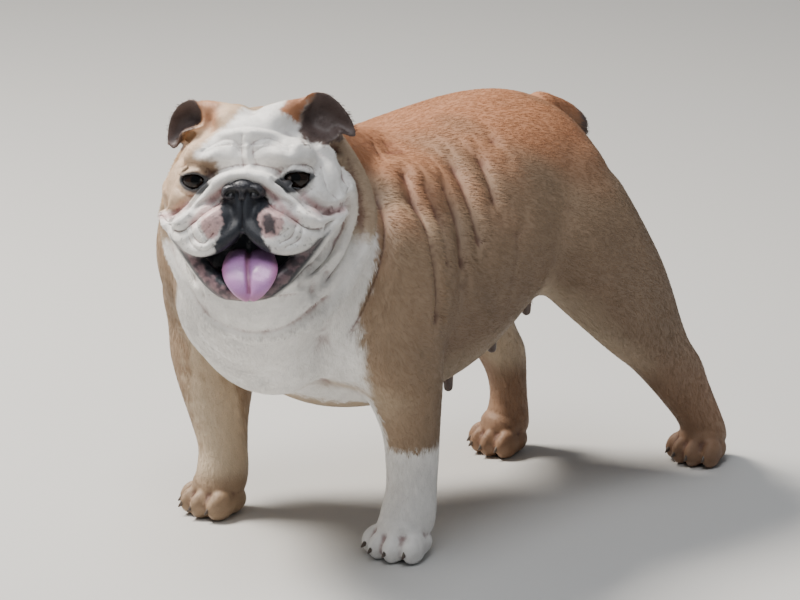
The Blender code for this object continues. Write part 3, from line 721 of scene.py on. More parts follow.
def sculpted(points, normals, depth):
    """The skin's points: the clay drawn in by the coat's depth, with grooves, lids and lips."""
    head = in_head(points)
    ways = turned_to_head(normals)
    front = ramp(-ways[:, 1], 0.05, 0.45) * ramp(-head[:, 1], 2, 12)
    x, y, z = head.T
    near_face = (np.abs(x) < 90) & (y < 0) & (z > -110) & (z < 60)
    face = ramp(-y, 25, 40) * (z > -100) * (z < 30)
    offset = -depth * (1 - 0.75 * face * (np.abs(x) < 84)) / MM

    here = np.flatnonzero(near_face)
    flat = head[here][:, [0, 2]]
    for points_of, width, height in FACE_LINES:
        offset[here] += relief(near_curve(flat, points_of, 2.5), width, height) * front[here]

    loose = np.flatnonzero((np.abs(x) < 112) & (y > -60) & (y < 45) & (z > -142) & (z < 42))
    below_ear = ramp(22 - z[loose], 0, 10)
    for points_of, width, height in FOLD_LINES:
        for side in (1, -0.93):
            course = [(side * px, py, pz) for px, py, pz in points_of]
            gap = near_curve(head[loose], course, 5, ways[loose])
            offset[loose] += relief(gap, width, height) * below_ear * run_out(head[loose], course, FOLD_RUN_OUT)
    collar = np.flatnonzero((points[:, 0] > 0.06) & (points[:, 1] < 0.03) & (points[:, 2] > 0.2))
    gap = near_curve(points[collar] / MM, [tuple(c / MM for c in spot) for spot in COLLAR], 5, normals[collar])
    offset[collar] += relief(gap, COLLAR_WIDTH, COLLAR_HEIGHT) * run_out(points[collar], COLLAR, COLLAR_RUN_OUT)

    side_on = np.flatnonzero((points[:, 1] > -0.01) & (points[:, 1] < 0.2) & (points[:, 2] > 0.2))
    spots = points[side_on][:, 1:]
    sides = normals[side_on][:, 0]
    left = np.where(points[side_on][:, 0] > 0, 1.0, 0.45) * ramp(np.abs(sides), 0.15, 0.5)
    clear = 1 - ramp(-head[side_on][:, 1], -45, -30)
    for points_of, width, height in FLANK_LINES:
        gap = near_curve(spots, points_of, 0.006)
        shape = 0.55 * crease(gap, width) + 0.65 * np.exp(-(gap / (1.9 * width)) ** 2)
        offset[side_on] += height / MM * shape * left * clear * run_out(spots, points_of, FLANK_RUN_OUT)

    moved = points + normals * (offset * MM)[:, None]
    spots = in_head(moved)
    for side in (1, -1):
        centre = np.array((side * EYES[side][0], *EYES[side][1:]))
        away = spots - centre
        reach = np.linalg.norm(away, axis=1)
        around = (reach < 26) & (away[:, 1] < 2)
        seen = opening(spots, side)
        lid = EYE_RADIUS + 1.9
        inner = EYE_RADIUS - 2.0
        target = np.where(reach < lid, lid, reach)
        band = np.exp(-(np.maximum(reach - lid, 0) / 3.0))
        drawn = target - (target - lid) * band * 0.55
        wanted = drawn * (1 - seen) + np.minimum(reach, inner) * seen
        strength = 1 - ramp(np.abs(away[:, 0]), 15, 19)
        strength = strength * (1 - ramp(np.abs(away[:, 2]), 10, 15))
        new = centre + away * (wanted / np.maximum(reach, 1e-6))[:, None]
        spots = np.where(around[:, None], spots + (new - spots) * strength[:, None], spots)
    ahead = np.array(head_frame())
    return (spots * MM) @ ahead[:3, :3].T + ahead[:3, 3]


# Outlines of the markings, seen from in front in the head's own frame: points (x, z) in millimetres.
FAWN_FACE = (
    (-9, 62), (-11, 54), (-19, 46), (-29, 39), (-38, 31), (-44, 25), (-46, 20), (-35, 18), (-27, 15), (-28, 7),
    (-34, 4), (-46, 6), (-58, 4), (-60, -2), (-52, -8), (-44, -12), (-54, -21), (-60, -27), (-76, -29), (-96, -26),
    (-100, 20), (-100, 90), (-20, 90))
FAWN_EAR = ((24, 57), (27, 61), (34, 72), (60, 84), (52, 66), (42, 54), (41, 42), (34, 50), (27, 55))
BLACK_MUZZLE = (
    (0, -5), (-12, -5), (-17, -9), (-18.5, -15), (-19, -22), (-16, -28), (-17, -36), (-19, -43), (-25, -53),
    (-22, -60), (-10, -52), (0, -43), (9, -51), (22, -62), (25, -55), (18, -46), (18, -38), (13, -30),
    (14, -26), (23, -20), (19, -13), (16.5, -8), (12, -5))
PINK_RIGHT = ((-20, -17), (-29, -21), (-36, -29), (-35, -38), (-29, -47), (-22, -46), (-17, -36), (-14, -27))
PINK_LEFT = ((24, -18), (36, -25), (37, -36), (31, -46), (21, -47), (14, -39), (11, -28), (17, -22))
BLACK_SPOT = ((19, -27), (25, -25), (30, -31), (29, -43), (21, -43), (18, -36))
DARK_BROW = ((-38, 18), (-28, 19), (-24, 11), (-28, 3), (-33, 2), (-46, 6), (-44, 10))
LEFT_LINING = (
    (40, 38), (40, 52), (44, 64), (54, 72), (68, 69), (80, 57), (90, 42), (92, 29), (79, 29), (74, 32), (72, 26),
    (64, 25), (54, 27), (45, 32))
RIGHT_LINING = (
    (-50, 68), (-66, 66), (-78, 52), (-83, 37), (-82, 24), (-70, 19), (-65, 29), (-62, 38), (-54, 41), (-48, 46),
    (-46, 58))
# How far back the white of the chest runs on the left shoulder: points (height, y) in metres.
CHEST_BACK = ((0.121, 0.002), (0.183, -0.037), (0.221, -0.049), (0.257, -0.050), (0.287, -0.037), (0.311, -0.028))
# The white front of the chest, seen from in front: points (x, z) in metres.
WHITE_CHEST = (
    (0.060, 0.345), (0.035, 0.300), (-0.002, 0.250), (-0.048, 0.204), (-0.050, 0.174), (-0.044, 0.158),
    (0.000, 0.146), (0.050, 0.138), (0.085, 0.110), (0.098, 0.121), (0.129, 0.183), (0.140, 0.221), (0.170, 0.240),
    (0.178, 0.330), (0.150, 0.345))


def mix(base, colour, share):
    """The base colours moved towards one colour by each point's share."""
    return base + (np.array(colour) - base) * np.clip(share, 0, 1)[:, None]


def marking_and_shade(points, normals, looks):
    """Colour of each point, with painted shade low on the body and inside the mouth, and how bare of hair it is, 0 to
    1. looks holds the named colours.
    """
    head = in_head(points)
    ways = turned_to_head(normals)
    x, y, z = head.T
    fuzz = ripple(points, 0.009, 3) * 0.6 + ripple(points, 0.004, 4) * 0.5
    broad = ripple(points, 0.07, 5)
    ragged = np.column_stack((x + fuzz * 1.1, z + ripple(points, 0.006, 6) * 1.0))

    colour = np.tile(np.array(looks["fawn"]), (len(points), 1))
    top = ramp(points[:, 2] + 0.015 * broad, 0.29, 0.385)
    colour = mix(colour, looks["rust"], top * ramp(points[:, 1], -0.12, -0.02))
    # Painted shade: the hair low on the body, behind the forelegs, is darkened towards umber. The broad random
    # patches of umber are the coat's own tone.
    low = 0.75 * ramp(0.36 - points[:, 2], 0, 0.15) * ramp(points[:, 1], 0.01, 0.06)
    colour = mix(colour, looks["umber_and_shade"], 0.12 * ramp(broad, 0.1, 1.2) + low)
    below = ramp(-normals[:, 2], 0.35, 0.85) * ramp(points[:, 2], 0.09, 0.13)
    colour = mix(colour, looks["cream"], 0.55 * below)

    inner = ramp(points[:, 0] * -np.sign(points[:, 0]) + 0.072, -0.004, 0.012)
    hind = ramp(points[:, 1], 0.20, 0.24) * ramp(0.22 - points[:, 2], 0, 0.05) * ramp(points[:, 2], 0.075, 0.105)
    colour = mix(colour, looks["cream"], 0.70 * inner * hind)
    hocks = ramp(points[:, 1], 0.15, 0.24) * ramp(0.17 - points[:, 2], 0, 0.12)
    colour = mix(colour, looks["rust"], 0.28 * hocks * (1 - inner * ramp(points[:, 2], 0.075, 0.105)))
    uneven = ripple(points, 0.012, 5) * 0.004
    shin = ramp((points[:, 0] + 0.118) * 0.80 - (points[:, 1] + 0.018) * 0.60 + uneven, 0.010, 0.024)
    shin = shin * (points[:, 0] < -0.05) * ramp(0.21 - points[:, 2], 0, 0.03) * ramp(points[:, 2], 0.03, 0.05)
    colour = mix(colour, looks["cream"], 0.85 * shin * ramp(0.08 - points[:, 1], 0, 0.02))

    spread = 0.0035 * fuzz
    chest = patch(np.column_stack((points[:, 0] + spread, points[:, 2] + spread)), WHITE_CHEST, 0.005)
    heights, backs = zip(*CHEST_BACK)
    back = np.interp(points[:, 2], heights, backs)
    back = np.where(points[:, 0] > 0.07, back, 0.0)
    chest = chest * ramp(back + spread - points[:, 1], -0.004, 0.004)
    tan_patch = np.exp(-(((points[:, 0] - 0.090) / 0.026) ** 2 + ((points[:, 2] - 0.162) / 0.012) ** 2) ** 2)
    chest = chest * (1 - tan_patch * ramp(points[:, 1], -0.075, -0.055))
    leg = (points[:, 0] > 0.06) & (points[:, 1] < 0.1) & (points[:, 2] < 0.2)
    sock = leg * ramp(0.104 + spread - points[:, 2], -0.003, 0.004)
    strip = leg * ramp(-(points[:, 0] - 0.107) * 0.94 - (points[:, 1] - 0.031) * 0.34 + spread, 0.010, 0.016)
    strip = strip * ramp(0.175 - points[:, 2], 0, 0.02)
    colour = mix(colour, looks["white"], np.maximum(np.maximum(chest, sock), strip))

    belongs = ramp(58 + 0.35 * (z + 60) - y, -6, 10) * ramp(z, -152, -140) * (np.abs(x) < 125)
    throat = ramp(-z + 6 * fuzz, 50, 66)
    outer = ramp(y + 0.10 * (z + 20) + fuzz, 5, 15)
    flesh_white = np.tile(np.array(looks["white"]), (len(points), 1))
    folds = mix(flesh_white, looks["cream"], 0.85 * ramp(y, -6, 6) * (1 - throat))
    folds = mix(folds, looks["fawn"], 0.80 * outer * (1 - throat) * ramp(z, -80, -45))
    blaze = ramp(np.abs(x - 3 + 3 * fuzz), 13, 22) * ramp(z, 36, 48) * ramp(y, -2, 12)
    folds = mix(folds, looks["rust"], blaze)
    folds = mix(folds, looks["rust"], ramp(y, 30, 46) * ramp(z, -20, 10))
    folds = mix(folds, looks["tan"], 0.85 * patch(ragged, FAWN_FACE, 3.0) * ramp(70 - y, 0, 20))
    folds = mix(folds, looks["rust"], 0.8 * ramp(z + 3 * fuzz, 36, 50) * ramp(-x, 24, 34))
    ridge = patch(ragged, FAWN_EAR, 2.0) * (y < 12)
    folds = mix(folds, looks["rust"], ridge)
    folds = mix(folds, looks["umber_and_shade"], 0.85 * patch(ragged, DARK_BROW, 4.0) * (y < -30))

    ear = (np.abs(x) > 36) & (z > 18) & (y < 30)
    hollow = ramp(-ways[:, 1] + 0.25 * np.abs(ways[:, 0]), -0.05, 0.25)
    inside = np.maximum(patch(ragged, LEFT_LINING, 1.2), patch(ragged, RIGHT_LINING, 1.2)) * ear * (1 - ridge)
    folds = mix(folds, looks["rust"], 0.9 * inside * (1 - hollow))
    inside = inside * hollow
    folds = mix(folds, looks["ear"], inside)

    muzzle = (y < -48)
    pink = np.maximum(patch(ragged, PINK_RIGHT, 1.6), patch(ragged, PINK_LEFT, 1.6)) * muzzle
    folds = mix(folds, looks["pink"], 0.85 * pink)
    dots = ramp(ripple(points, 0.0036, 8), 0.85, 1.3) * (np.abs(x) > 20) * (np.abs(x) < 58) * (z < -24) * (z > -56)
    folds = mix(folds, looks["slate"], 0.55 * dots * muzzle)
    black = patch(ragged, BLACK_MUZZLE, 1.2) * (y < -52)
    spot = patch(ragged, BLACK_SPOT, 1.5) * muzzle
    folds = mix(folds, looks["black"], np.maximum(black, 0.9 * spot))

    reddish = np.zeros(len(points))
    close = np.flatnonzero((y < -10) & (z < 0) & (z > -60))
    flat = head[close][:, [0, 2]]
    for course in (
            ((48, -15), (60, -26), (68, -29.5), (79, -29)), ((-52, -20), (-68, -30), (-80, -32)),
            ((0, -1), (17, -6), (33, -21), (45, -34)), ((0, -1), (-17, -6), (-33, -21), (-45, -34))):
        reddish[close] = np.maximum(reddish[close], np.exp(-(near_curve(flat, course, 3) / 3.0) ** 2))
    folds = mix(folds, looks["pink"], 0.70 * reddish * (1 - black))

    lip_gap = np.full(len(points), 99.0)
    mouth = np.flatnonzero((z < -30) & (z > -112) & (y < -16) & (np.abs(x) < 80))
    flat = np.column_stack((np.abs(x[mouth]), z[mouth]))
    edge = ((0, -38), (11, -51), (25, -60.5), (39.5, -64), (53, -60.5), (61, -53.5), (70, -45))
    lip_gap[mouth] = near_curve(flat, edge, 3)
    lower = ((0, -104.5), (22, -100), (38, -88), (53, -70), (65, -54), (70, -46))
    outline = [*edge, *[(px, pz) for px, pz in reversed(lower)]]
    hole = np.zeros(len(points))
    hole[mouth] = patch(flat, [(-0.5, -38), *outline[1:-1], (-0.5, -104.5)], 1.6)
    lips = np.maximum(np.exp(-(lip_gap / 1.8) ** 2) * ramp(-ways[:, 2], -0.2, 0.3), 0)
    # The inside of the mouth is painted black as painted shade; the lip margins are the lips' own black.
    dark = np.maximum(hole, lips)
    folds = mix(folds, looks["black"], dark)
    lip_edge = np.full(len(points), 99.0)
    lip_edge[mouth] = near_curve(flat, lower, 3)
    band = hole * ramp(lip_edge + fuzz, 2.2, 4.0) * ramp(15 - lip_edge + 2 * fuzz, 0, 4) * ramp(-y, 34, 48)
    mottled = ramp(ripple(points, 0.010, 11) + 0.6 * ripple(points, 0.004, 13), -0.9, 0.7)
    folds = mix(folds, looks["mauve"], band * (0.30 + 0.65 * mottled) * (1 - 0.35 * ramp(x, -10, 20)))
    chin = np.exp(-(((x / 34) ** 2 + ((z + 104) / 7) ** 2)) ** 2) * (y < -50)
    folds = mix(folds, looks["pink"], 0.45 * chin * (1 - dark))
    folds = mix(folds, looks["slate"], 0.5 * chin * ramp(ripple(points, 0.006, 12), 0.4, 0.9))

    rims = np.zeros(len(points))
    for side in (1, -1):
        out, ahead, up = EYES[side]
        reach = np.linalg.norm(head - np.array((side * out, ahead, up)), axis=1)
        around = (reach < EYE_RADIUS + 19) & (y < ahead)
        outline = (
            (-18.5, -3.0), (-11, 4.6), (-4, 8.2), (1, 8.9), (7, 7.6), (18, 3.0), (10, -6.4), (2, -10.4),
            (-7, -10.6), (-13.5, -8.4))
        shape = patch(head[:, [0, 2]], [(side * (px + out), pz + up) for px, pz in outline], 1.2)
        rims = np.maximum(rims, shape * around)
    folds = mix(folds, looks["black"], 0.93 * rims)

    colour = colour + (folds - colour) * belongs[:, None]

    teat = np.zeros(len(points))
    for spot_x, spot_y, spot_z in TEATS:
        gap = np.linalg.norm(np.column_stack((
            np.abs(points[:, 0]) - spot_x, points[:, 1] - spot_y, points[:, 2] - spot_z)), axis=1)
        teat = np.maximum(teat, ramp(0.0135 - gap, 0, 0.004))
    colour = mix(colour, looks["ear"], 0.9 * teat)
    tip = ramp(points[:, 1], 0.318, 0.326) * ramp(points[:, 2], 0.31, 0.325)
    colour = mix(colour, looks["ear"], tip)

    shade = 1 + 0.07 * broad + 0.05 * fuzz
    colour = np.clip(colour * shade[:, None], 0, 1)
    bare = np.maximum.reduce([0.35 * black, dark, rims, 0.35 * spot, teat, 0.85 * pink, 0.28 * inside * belongs])
    under = ramp(0.006 - points[:, 2], 0, 0.003)
    return colour, np.clip(np.maximum(bare * np.maximum(belongs, teat), under), 0, 1)


def flow(points, normals):
    """The way the hair lies at each point, a unit vector along the skin."""
    head = in_head(points)
    nose = np.array((0, -70, -6.0))
    away = (head - nose) * np.array((1.0, 0.55, 1.0))
    away[:, 1] += 26
    ahead = np.array(head_frame())[:3, :3]
    on_head = away @ ahead.T
    on_head /= np.linalg.norm(on_head, axis=1)[:, None]
    trunk = np.tile(np.array((0.0, 1.0, -0.45)), (len(points), 1))
    trunk[:, 0] = np.sign(points[:, 0]) * 0.15
    chest = np.array((0.0, 0.1, -1.0))
    down = ramp(-points[:, 1], -0.02, 0.05)
    trunk = trunk + (chest - trunk) * down[:, None]
    leg = ramp(0.205 - points[:, 2], 0, 0.05)
    trunk = trunk + (np.array((0.0, 0.25, -1.0)) - trunk) * leg[:, None]
    feet = ramp(0.030 - points[:, 2], 0, 0.02)
    trunk = trunk + (np.array((0.0, -1.0, -0.3)) - trunk) * feet[:, None]
    share = ramp(120 - np.linalg.norm(head + np.array((0, 0, 20.0)), axis=1), -10, 30)
    way = trunk + (on_head - trunk) * share[:, None]
    way -= normals * np.sum(way * normals, axis=1)[:, None]
    return way / np.maximum(np.linalg.norm(way, axis=1), 1e-6)[:, None]


def hair_length(points):
    """Length of the coat at each point, in metres: shortest on the face, ears and feet."""
    head = in_head(points)
    on_head = ramp(112 - np.linalg.norm(head + np.array((0, 8, 10.0)), axis=1), -14, 20)
    length = TRUNK_HAIR - LEG_HAIR_LESS * ramp(0.20 - points[:, 2], 0, 0.06)
    length = length + (FOOT_HAIR - length) * ramp(0.045 - points[:, 2], 0, 0.02)
    length = length + (HEAD_HAIR - length) * on_head
    return length + (FACE_HAIR - length) * on_head * ramp(-head[:, 1], 15, 40)


# Meshes, materials and placing

def columns(mesh):
    """Points and normals of a mesh's vertices as arrays."""
    count = len(mesh.vertices)
    points = np.empty(count * 3, np.float32)
    mesh.vertices.foreach_get("co", points)
    normals = np.empty(count * 3, np.float32)
    mesh.vertex_normals.foreach_get("vector", normals)
    return points.reshape(-1, 3).astype(float), normals.reshape(-1, 3).astype(float)


def put_points(mesh, points):
    """Moves the mesh's vertices to the points."""
    mesh.vertices.foreach_set("co", points.astype(np.float32).ravel())
    mesh.update()


def put_colour(mesh, name, colours):
    """Stores a colour for each vertex under that name."""
    layer = mesh.color_attributes.new(name, "FLOAT_COLOR", "POINT")
    full = np.ones((len(colours), 4), np.float32)
    full[:, :3] = colours
    layer.data.foreach_set("color", full.ravel())


def put_value(mesh, name, values):
    """Stores a number for each vertex under that name."""
    layer = mesh.attributes.new(name, "FLOAT", "POINT")
    layer.data.foreach_set("value", values.astype(np.float32))


def in_place(mesh):
    """Brings a mesh from the modelling frame to the finished model's."""
    mesh.transform(Matrix.Translation(TO_ORIGIN) @ Matrix.Scale(LIFE_SIZE, 4))


def object_from(name, form, place=Matrix.Identity(4)):
    """A new object from a bmesh, with its place in its mesh."""
    mesh = bpy.data.meshes.new(name)
    form.to_mesh(mesh)
    form.free()
    mesh.transform(place)
    item = bpy.data.objects.new(name, mesh)
    bpy.context.collection.objects.link(item)
    return item


def finish_piece(item, material, slot, *nodes):
    """Gives a piece its material and its place in the model."""
    in_place(item.data)
    item.data.materials.clear()
    item.data.materials.append(material)
    item.data.shade_smooth()
    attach(item, "root")
    if nodes:
        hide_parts(*nodes)


def node_group(name, inputs, outputs):
    """A new shader node group with those named sockets, its tree, input node and output node."""
    tree = bpy.data.node_groups.new(name, "ShaderNodeTree")
    for label, kind, default in inputs:
        socket = tree.interface.new_socket(name=label, in_out="INPUT", socket_type=kind)
        socket.default_value = default
    for label, kind in outputs:
        tree.interface.new_socket(name=label, in_out="OUTPUT", socket_type=kind)
    return tree, tree.nodes.new("NodeGroupInput"), tree.nodes.new("NodeGroupOutput")


def math_node(tree, operation, first, second):
    """The output of a Math node on two sockets or numbers."""
    node = tree.nodes.new("ShaderNodeMath")
    node.operation = operation
    for socket, value in zip(node.inputs, (first, second)):
        if isinstance(value, (int, float)):
            socket.default_value = value
        else:
            tree.links.new(value, socket)
    return node.outputs[0]


def noise_node(tree, scale=5.0, detail=2.0):
    """A noise on the model's own coordinates."""
    spot = tree.nodes.new("ShaderNodeTexCoord")
    noise = tree.nodes.new("ShaderNodeTexNoise")
    noise.inputs["Scale"].default_value = scale
    noise.inputs["Detail"].default_value = detail
    tree.links.new(spot.outputs["Object"], noise.inputs["Vector"])
    return noise


def shaded(tree, colour, value):
    """The colour made lighter or darker by a value around 1."""
    shade = tree.nodes.new("ShaderNodeHueSaturation")
    tree.links.new(colour, shade.inputs["Color"])
    tree.links.new(value, shade.inputs["Value"])
    return shade.outputs["Color"]


def mix_node(tree, share, first, second, colours=False):
    """first where share is 0 and second where it is 1: two numbers, or two colours."""
    node = tree.nodes.new("ShaderNodeMix")
    node.data_type = "RGBA" if colours else "FLOAT"
    tree.links.new(share, node.inputs["Factor"])
    start = 6 if colours else 2
    for number, value in enumerate((first, second), start):
        if isinstance(value, bpy.types.NodeSocket):
            tree.links.new(value, node.inputs[number])
        else:
            node.inputs[number].default_value = value
    return node.outputs[2 if colours else 0]


def short_coat_group():
    """Fine hair: colour that varies by strand and by patch, and the height of the hairs."""
    found = bpy.data.node_groups.get("short coat")
    if found:
        return found
    tree, start, end = node_group(
        "short coat",
        (("Colour", "NodeSocketColor", (0.4, 0.25, 0.15, 1)), ("Fineness", "NodeSocketFloat", 900.0),
         ("Contrast", "NodeSocketFloat", 0.35)),
        (("Colour", "NodeSocketColor"), ("Height", "NodeSocketFloat"), ("Roughness", "NodeSocketFloat")))
    fine = noise_node(tree, detail=3.0)
    fine.inputs["Roughness"].default_value = 0.65
    tree.links.new(start.outputs["Fineness"], fine.inputs["Scale"])
    patchy = noise_node(tree, 60.0, 3.0)
    centred = math_node(tree, "SUBTRACT", fine.outputs["Fac"], 0.5)
    strand = math_node(tree, "MULTIPLY", centred, start.outputs["Contrast"])
    soft = math_node(tree, "MULTIPLY", math_node(tree, "SUBTRACT", patchy.outputs["Fac"], 0.5), 0.18)
    value = math_node(tree, "ADD", math_node(tree, "ADD", strand, soft), 1.0)
    tree.links.new(shaded(tree, start.outputs["Colour"], value), end.inputs["Colour"])
    tree.links.new(fine.outputs["Fac"], end.inputs["Height"])
    tree.links.new(math_node(tree, "ADD", math_node(tree, "MULTIPLY", fine.outputs["Fac"], 0.2), 0.5),
                   end.inputs["Roughness"])
    return tree


def pebble_group():
    """Leathery skin: close small bumps, with their height, and colour darker in the grooves between them as painted
    shade.
    """
    found = bpy.data.node_groups.get("pebbled skin")
    if found:
        return found
    tree, start, end = node_group(
        "pebbled skin",
        (("Colour", "NodeSocketColor", (0.1, 0.1, 0.1, 1)), ("Scale", "NodeSocketFloat", 900.0),
         ("Groove shade", "NodeSocketFloat", 0.5)),
        (("Colour", "NodeSocketColor"), ("Height", "NodeSocketFloat")))
    spot = tree.nodes.new("ShaderNodeTexCoord")
    cells = tree.nodes.new("ShaderNodeTexVoronoi")
    cells.feature = "SMOOTH_F1"
    tree.links.new(spot.outputs["Object"], cells.inputs["Vector"])
    tree.links.new(start.outputs["Scale"], cells.inputs["Scale"])
    height = math_node(tree, "SUBTRACT", 1.0, cells.outputs["Distance"])
    # Painted shade: darker towards the grooves between the bumps.
    darker = math_node(tree, "MULTIPLY", cells.outputs["Distance"], start.outputs["Groove shade"])
    value = math_node(tree, "SUBTRACT", 1.1, darker)
    tree.links.new(shaded(tree, start.outputs["Colour"], value), end.inputs["Colour"])
    tree.links.new(height, end.inputs["Height"])
    return tree


def new_material(name, roughness, coat=0.0, specular=0.5):
    """A material, its tree and its shader, with the values that are the same all over."""
    material = bpy.data.materials.new(name)
    material.use_nodes = True
    tree = material.node_tree
    shader = tree.nodes["Principled BSDF"]
    shader.inputs["Roughness"].default_value = roughness
    shader.inputs["Specular IOR Level"].default_value = specular
    shader.inputs["Coat Weight"].default_value = coat
    shader.inputs["Coat Roughness"].default_value = 0.08
    return material, tree, shader


def add_bump(tree, shader, height, distance):
    """Bumps on the shader's normal, that many metres high."""
    bump = tree.nodes.new("ShaderNodeBump")
    bump.inputs["Distance"].default_value = distance
    bump.inputs["Strength"].default_value = 1.0
    tree.links.new(height, bump.inputs["Height"])
    tree.links.new(bump.outputs["Normal"], shader.inputs["Normal"])


def placed_group(tree, group, settings):
    """The node group in a material's tree, with those numbers or colours on its sockets."""
    node = tree.nodes.new("ShaderNodeGroup")
    node.node_tree = group
    for label, value in settings.items():
        node.inputs[label].default_value = value
    return node


def attribute(tree, name):
    """A node that reads what the mesh stores under that name."""
    node = tree.nodes.new("ShaderNodeAttribute")
    node.attribute_name = name
    return node


def skin_material():
    """Short coat where there is hair, and pebbled moist skin where there is none."""
    material, tree, shader = new_material("bulldog skin", 0.6)
    tint = attribute(tree, "marking_and_shade")
    bald = attribute(tree, "bare")
    coat = placed_group(tree, short_coat_group(), {"Fineness": 1100.0, "Contrast": 0.30})
    tree.links.new(tint.outputs["Color"], coat.inputs["Colour"])
    leather = placed_group(tree, pebble_group(), {"Scale": 700.0, "Groove shade": 0.35})
    tree.links.new(tint.outputs["Color"], leather.inputs["Colour"])
    share = bald.outputs["Fac"]
    tree.links.new(
        mix_node(tree, share, coat.outputs["Colour"], leather.outputs["Colour"], colours=True),
        shader.inputs["Base Color"])
    tree.links.new(mix_node(tree, share, coat.outputs["Roughness"], 0.40), shader.inputs["Roughness"])
    add_bump(tree, shader, mix_node(tree, share, coat.outputs["Height"], leather.outputs["Height"]), 0.00022)
    return material


def coat_material():
    """The tufts: the skin's markings with its painted crease shade, and strands of slightly different tone."""
    material, tree, shader = new_material("bulldog coat", 0.6, specular=0.22)
    tint = attribute(tree, "marking_and_shade")
    coat = placed_group(tree, short_coat_group(), {"Fineness": 1600.0, "Contrast": 0.22})
    tree.links.new(tint.outputs["Color"], coat.inputs["Colour"])
    tree.links.new(coat.outputs["Colour"], shader.inputs["Base Color"])
    tree.links.new(coat.outputs["Roughness"], shader.inputs["Roughness"])
    add_bump(tree, shader, coat.outputs["Height"], 0.00005)
    return material


# Settings

def colour_setting(name, description, default):
    """A colour that the user can change."""
    return bpy.props.FloatVectorProperty(
        name=name, description=description, subtype="COLOR", size=3, min=0, max=1, default=default)


class BulldogCoatSettings(bpy.types.PropertyGroup):
    """Sizes and colours of the skin and coat."""
    depth: bpy.props.FloatProperty(
        name="Coat depth", description="How far the skin lies inside the outline",
        default=0.0012, min=0, max=0.005, unit="LENGTH")
    length: bpy.props.FloatProperty(
        name="Coat length", description="Length of the coat, as a share of the breed's", default=1.0, min=0.2, max=3,
        subtype="FACTOR")
    tufts: bpy.props.IntProperty(
        name="Tufts", description="Tufts in one piece of the coat", default=32000, min=100, max=33000)
    fawn: colour_setting("Fawn", "Fawn of the flanks and legs", (0.325, 0.224, 0.143))
    tan: colour_setting("Pale fawn", "Fawn of the right side of the face", (0.54, 0.35, 0.20))
    rust: colour_setting("Red fawn", "Red fawn of the back, neck and ears", (0.375, 0.165, 0.080))
    # Umber is also the colour of the painted shade low on the body.
    umber_and_shade: colour_setting("Umber", "Shaded hair low on the body and over the right eye", (0.205, 0.138, 0.090))
    cream: colour_setting("Cream", "Cream of the cheek folds and the insides of the legs", (0.62, 0.50, 0.36))
    white: colour_setting("White", "White of the face, chest and left forefoot", (0.84, 0.82, 0.79))
    pink: colour_setting("Pink", "Thinly haired pink skin of the lips", (0.60, 0.35, 0.34))
    mauve: colour_setting("Mauve", "Mottling inside the lower lip", (0.30, 0.19, 0.20))
    ear: colour_setting(
        "Ear lining", "Dark lining of the ears, the teats and the tip of the tail", (0.105, 0.074, 0.067))
    slate: colour_setting("Slate", "Whisker dots and spots on the chin", (0.12, 0.11, 0.11))
    black: colour_setting("Black", "Pigment of the muzzle, lips and eyelids", (0.026, 0.029, 0.037))


class BulldogFaceSettings(bpy.types.PropertyGroup):
    """Sizes and colours of the eyes, nose, tongue and claws."""
    iris: colour_setting("Iris", "Colour of the iris", (0.016, 0.008, 0.005))
    white_of_eye: colour_setting("White of the eye", "Colour of the eyeball beside the iris", (0.022, 0.015, 0.013))
    nose: colour_setting("Nose", "Colour of the nose leather", (0.040, 0.040, 0.050))
    tongue: colour_setting("Tongue", "Colour of the tongue", (0.55, 0.27, 0.57))
    claw: colour_setting("Claw", "Colour of the claws' middle", (0.16, 0.12, 0.09))
    iris_angle: bpy.props.FloatProperty(
        name="Iris size", description="Angle from the middle of the pupil to the iris's edge",
        default=math.radians(46), subtype="ANGLE", unit="ROTATION")


class BulldogStageSettings(bpy.types.PropertyGroup):
    """The floor and the lights."""
    floor: colour_setting("Floor", "Colour of the floor", (0.56, 0.555, 0.54))
    key: bpy.props.FloatProperty(name="Key light", description="Power of the key light", default=185, unit="POWER")
    fill: bpy.props.FloatProperty(name="Fill light", description="Power of the fill light", default=64, unit="POWER")


def looks_of(settings):
    """The coat's named colours, by name."""
    return {name: tuple(getattr(settings, name)) for name in (
        "fawn", "tan", "rust", "umber_and_shade", "cream", "white", "pink", "mauve", "ear", "slate", "black")}


# Operators

class BULLDOG_OT_skin(bpy.types.Operator):
    """Models the one skin, from its clay masses to its grooves, lids and lips"""
    bl_idname = "bulldog.skin"
    bl_label = "Skin"

    def execute(self, context):
        settings = context.scene.bulldog_coat
        dog = whole_dog(SKIN_VOXEL)
        refine_head(dog.data)
        points, normals = columns(dog.data)
        put_points(dog.data, sculpted(points, normals, settings.depth))
        skin = thinned_skin(dog)
        bpy.data.objects.remove(dog)
        points, normals = columns(skin.data)
        points[:, 2] = np.maximum(points[:, 2], 0.0)
        put_points(skin.data, points)
        colours, bare = marking_and_shade(points, normals, looks_of(settings))
        hollow = hollows(skin, points, normals)
        # The markings are darkened in the creases: painted shade.
        put_colour(skin.data, "marking_and_shade", colours * crease_shade(hollow))
        put_value(skin.data, "bare", bare)
        put_value(skin.data, "hollow", hollow)
        finish_piece(skin, skin_material(), "coat_fawn", *FLESH)
        return {"FINISHED"}


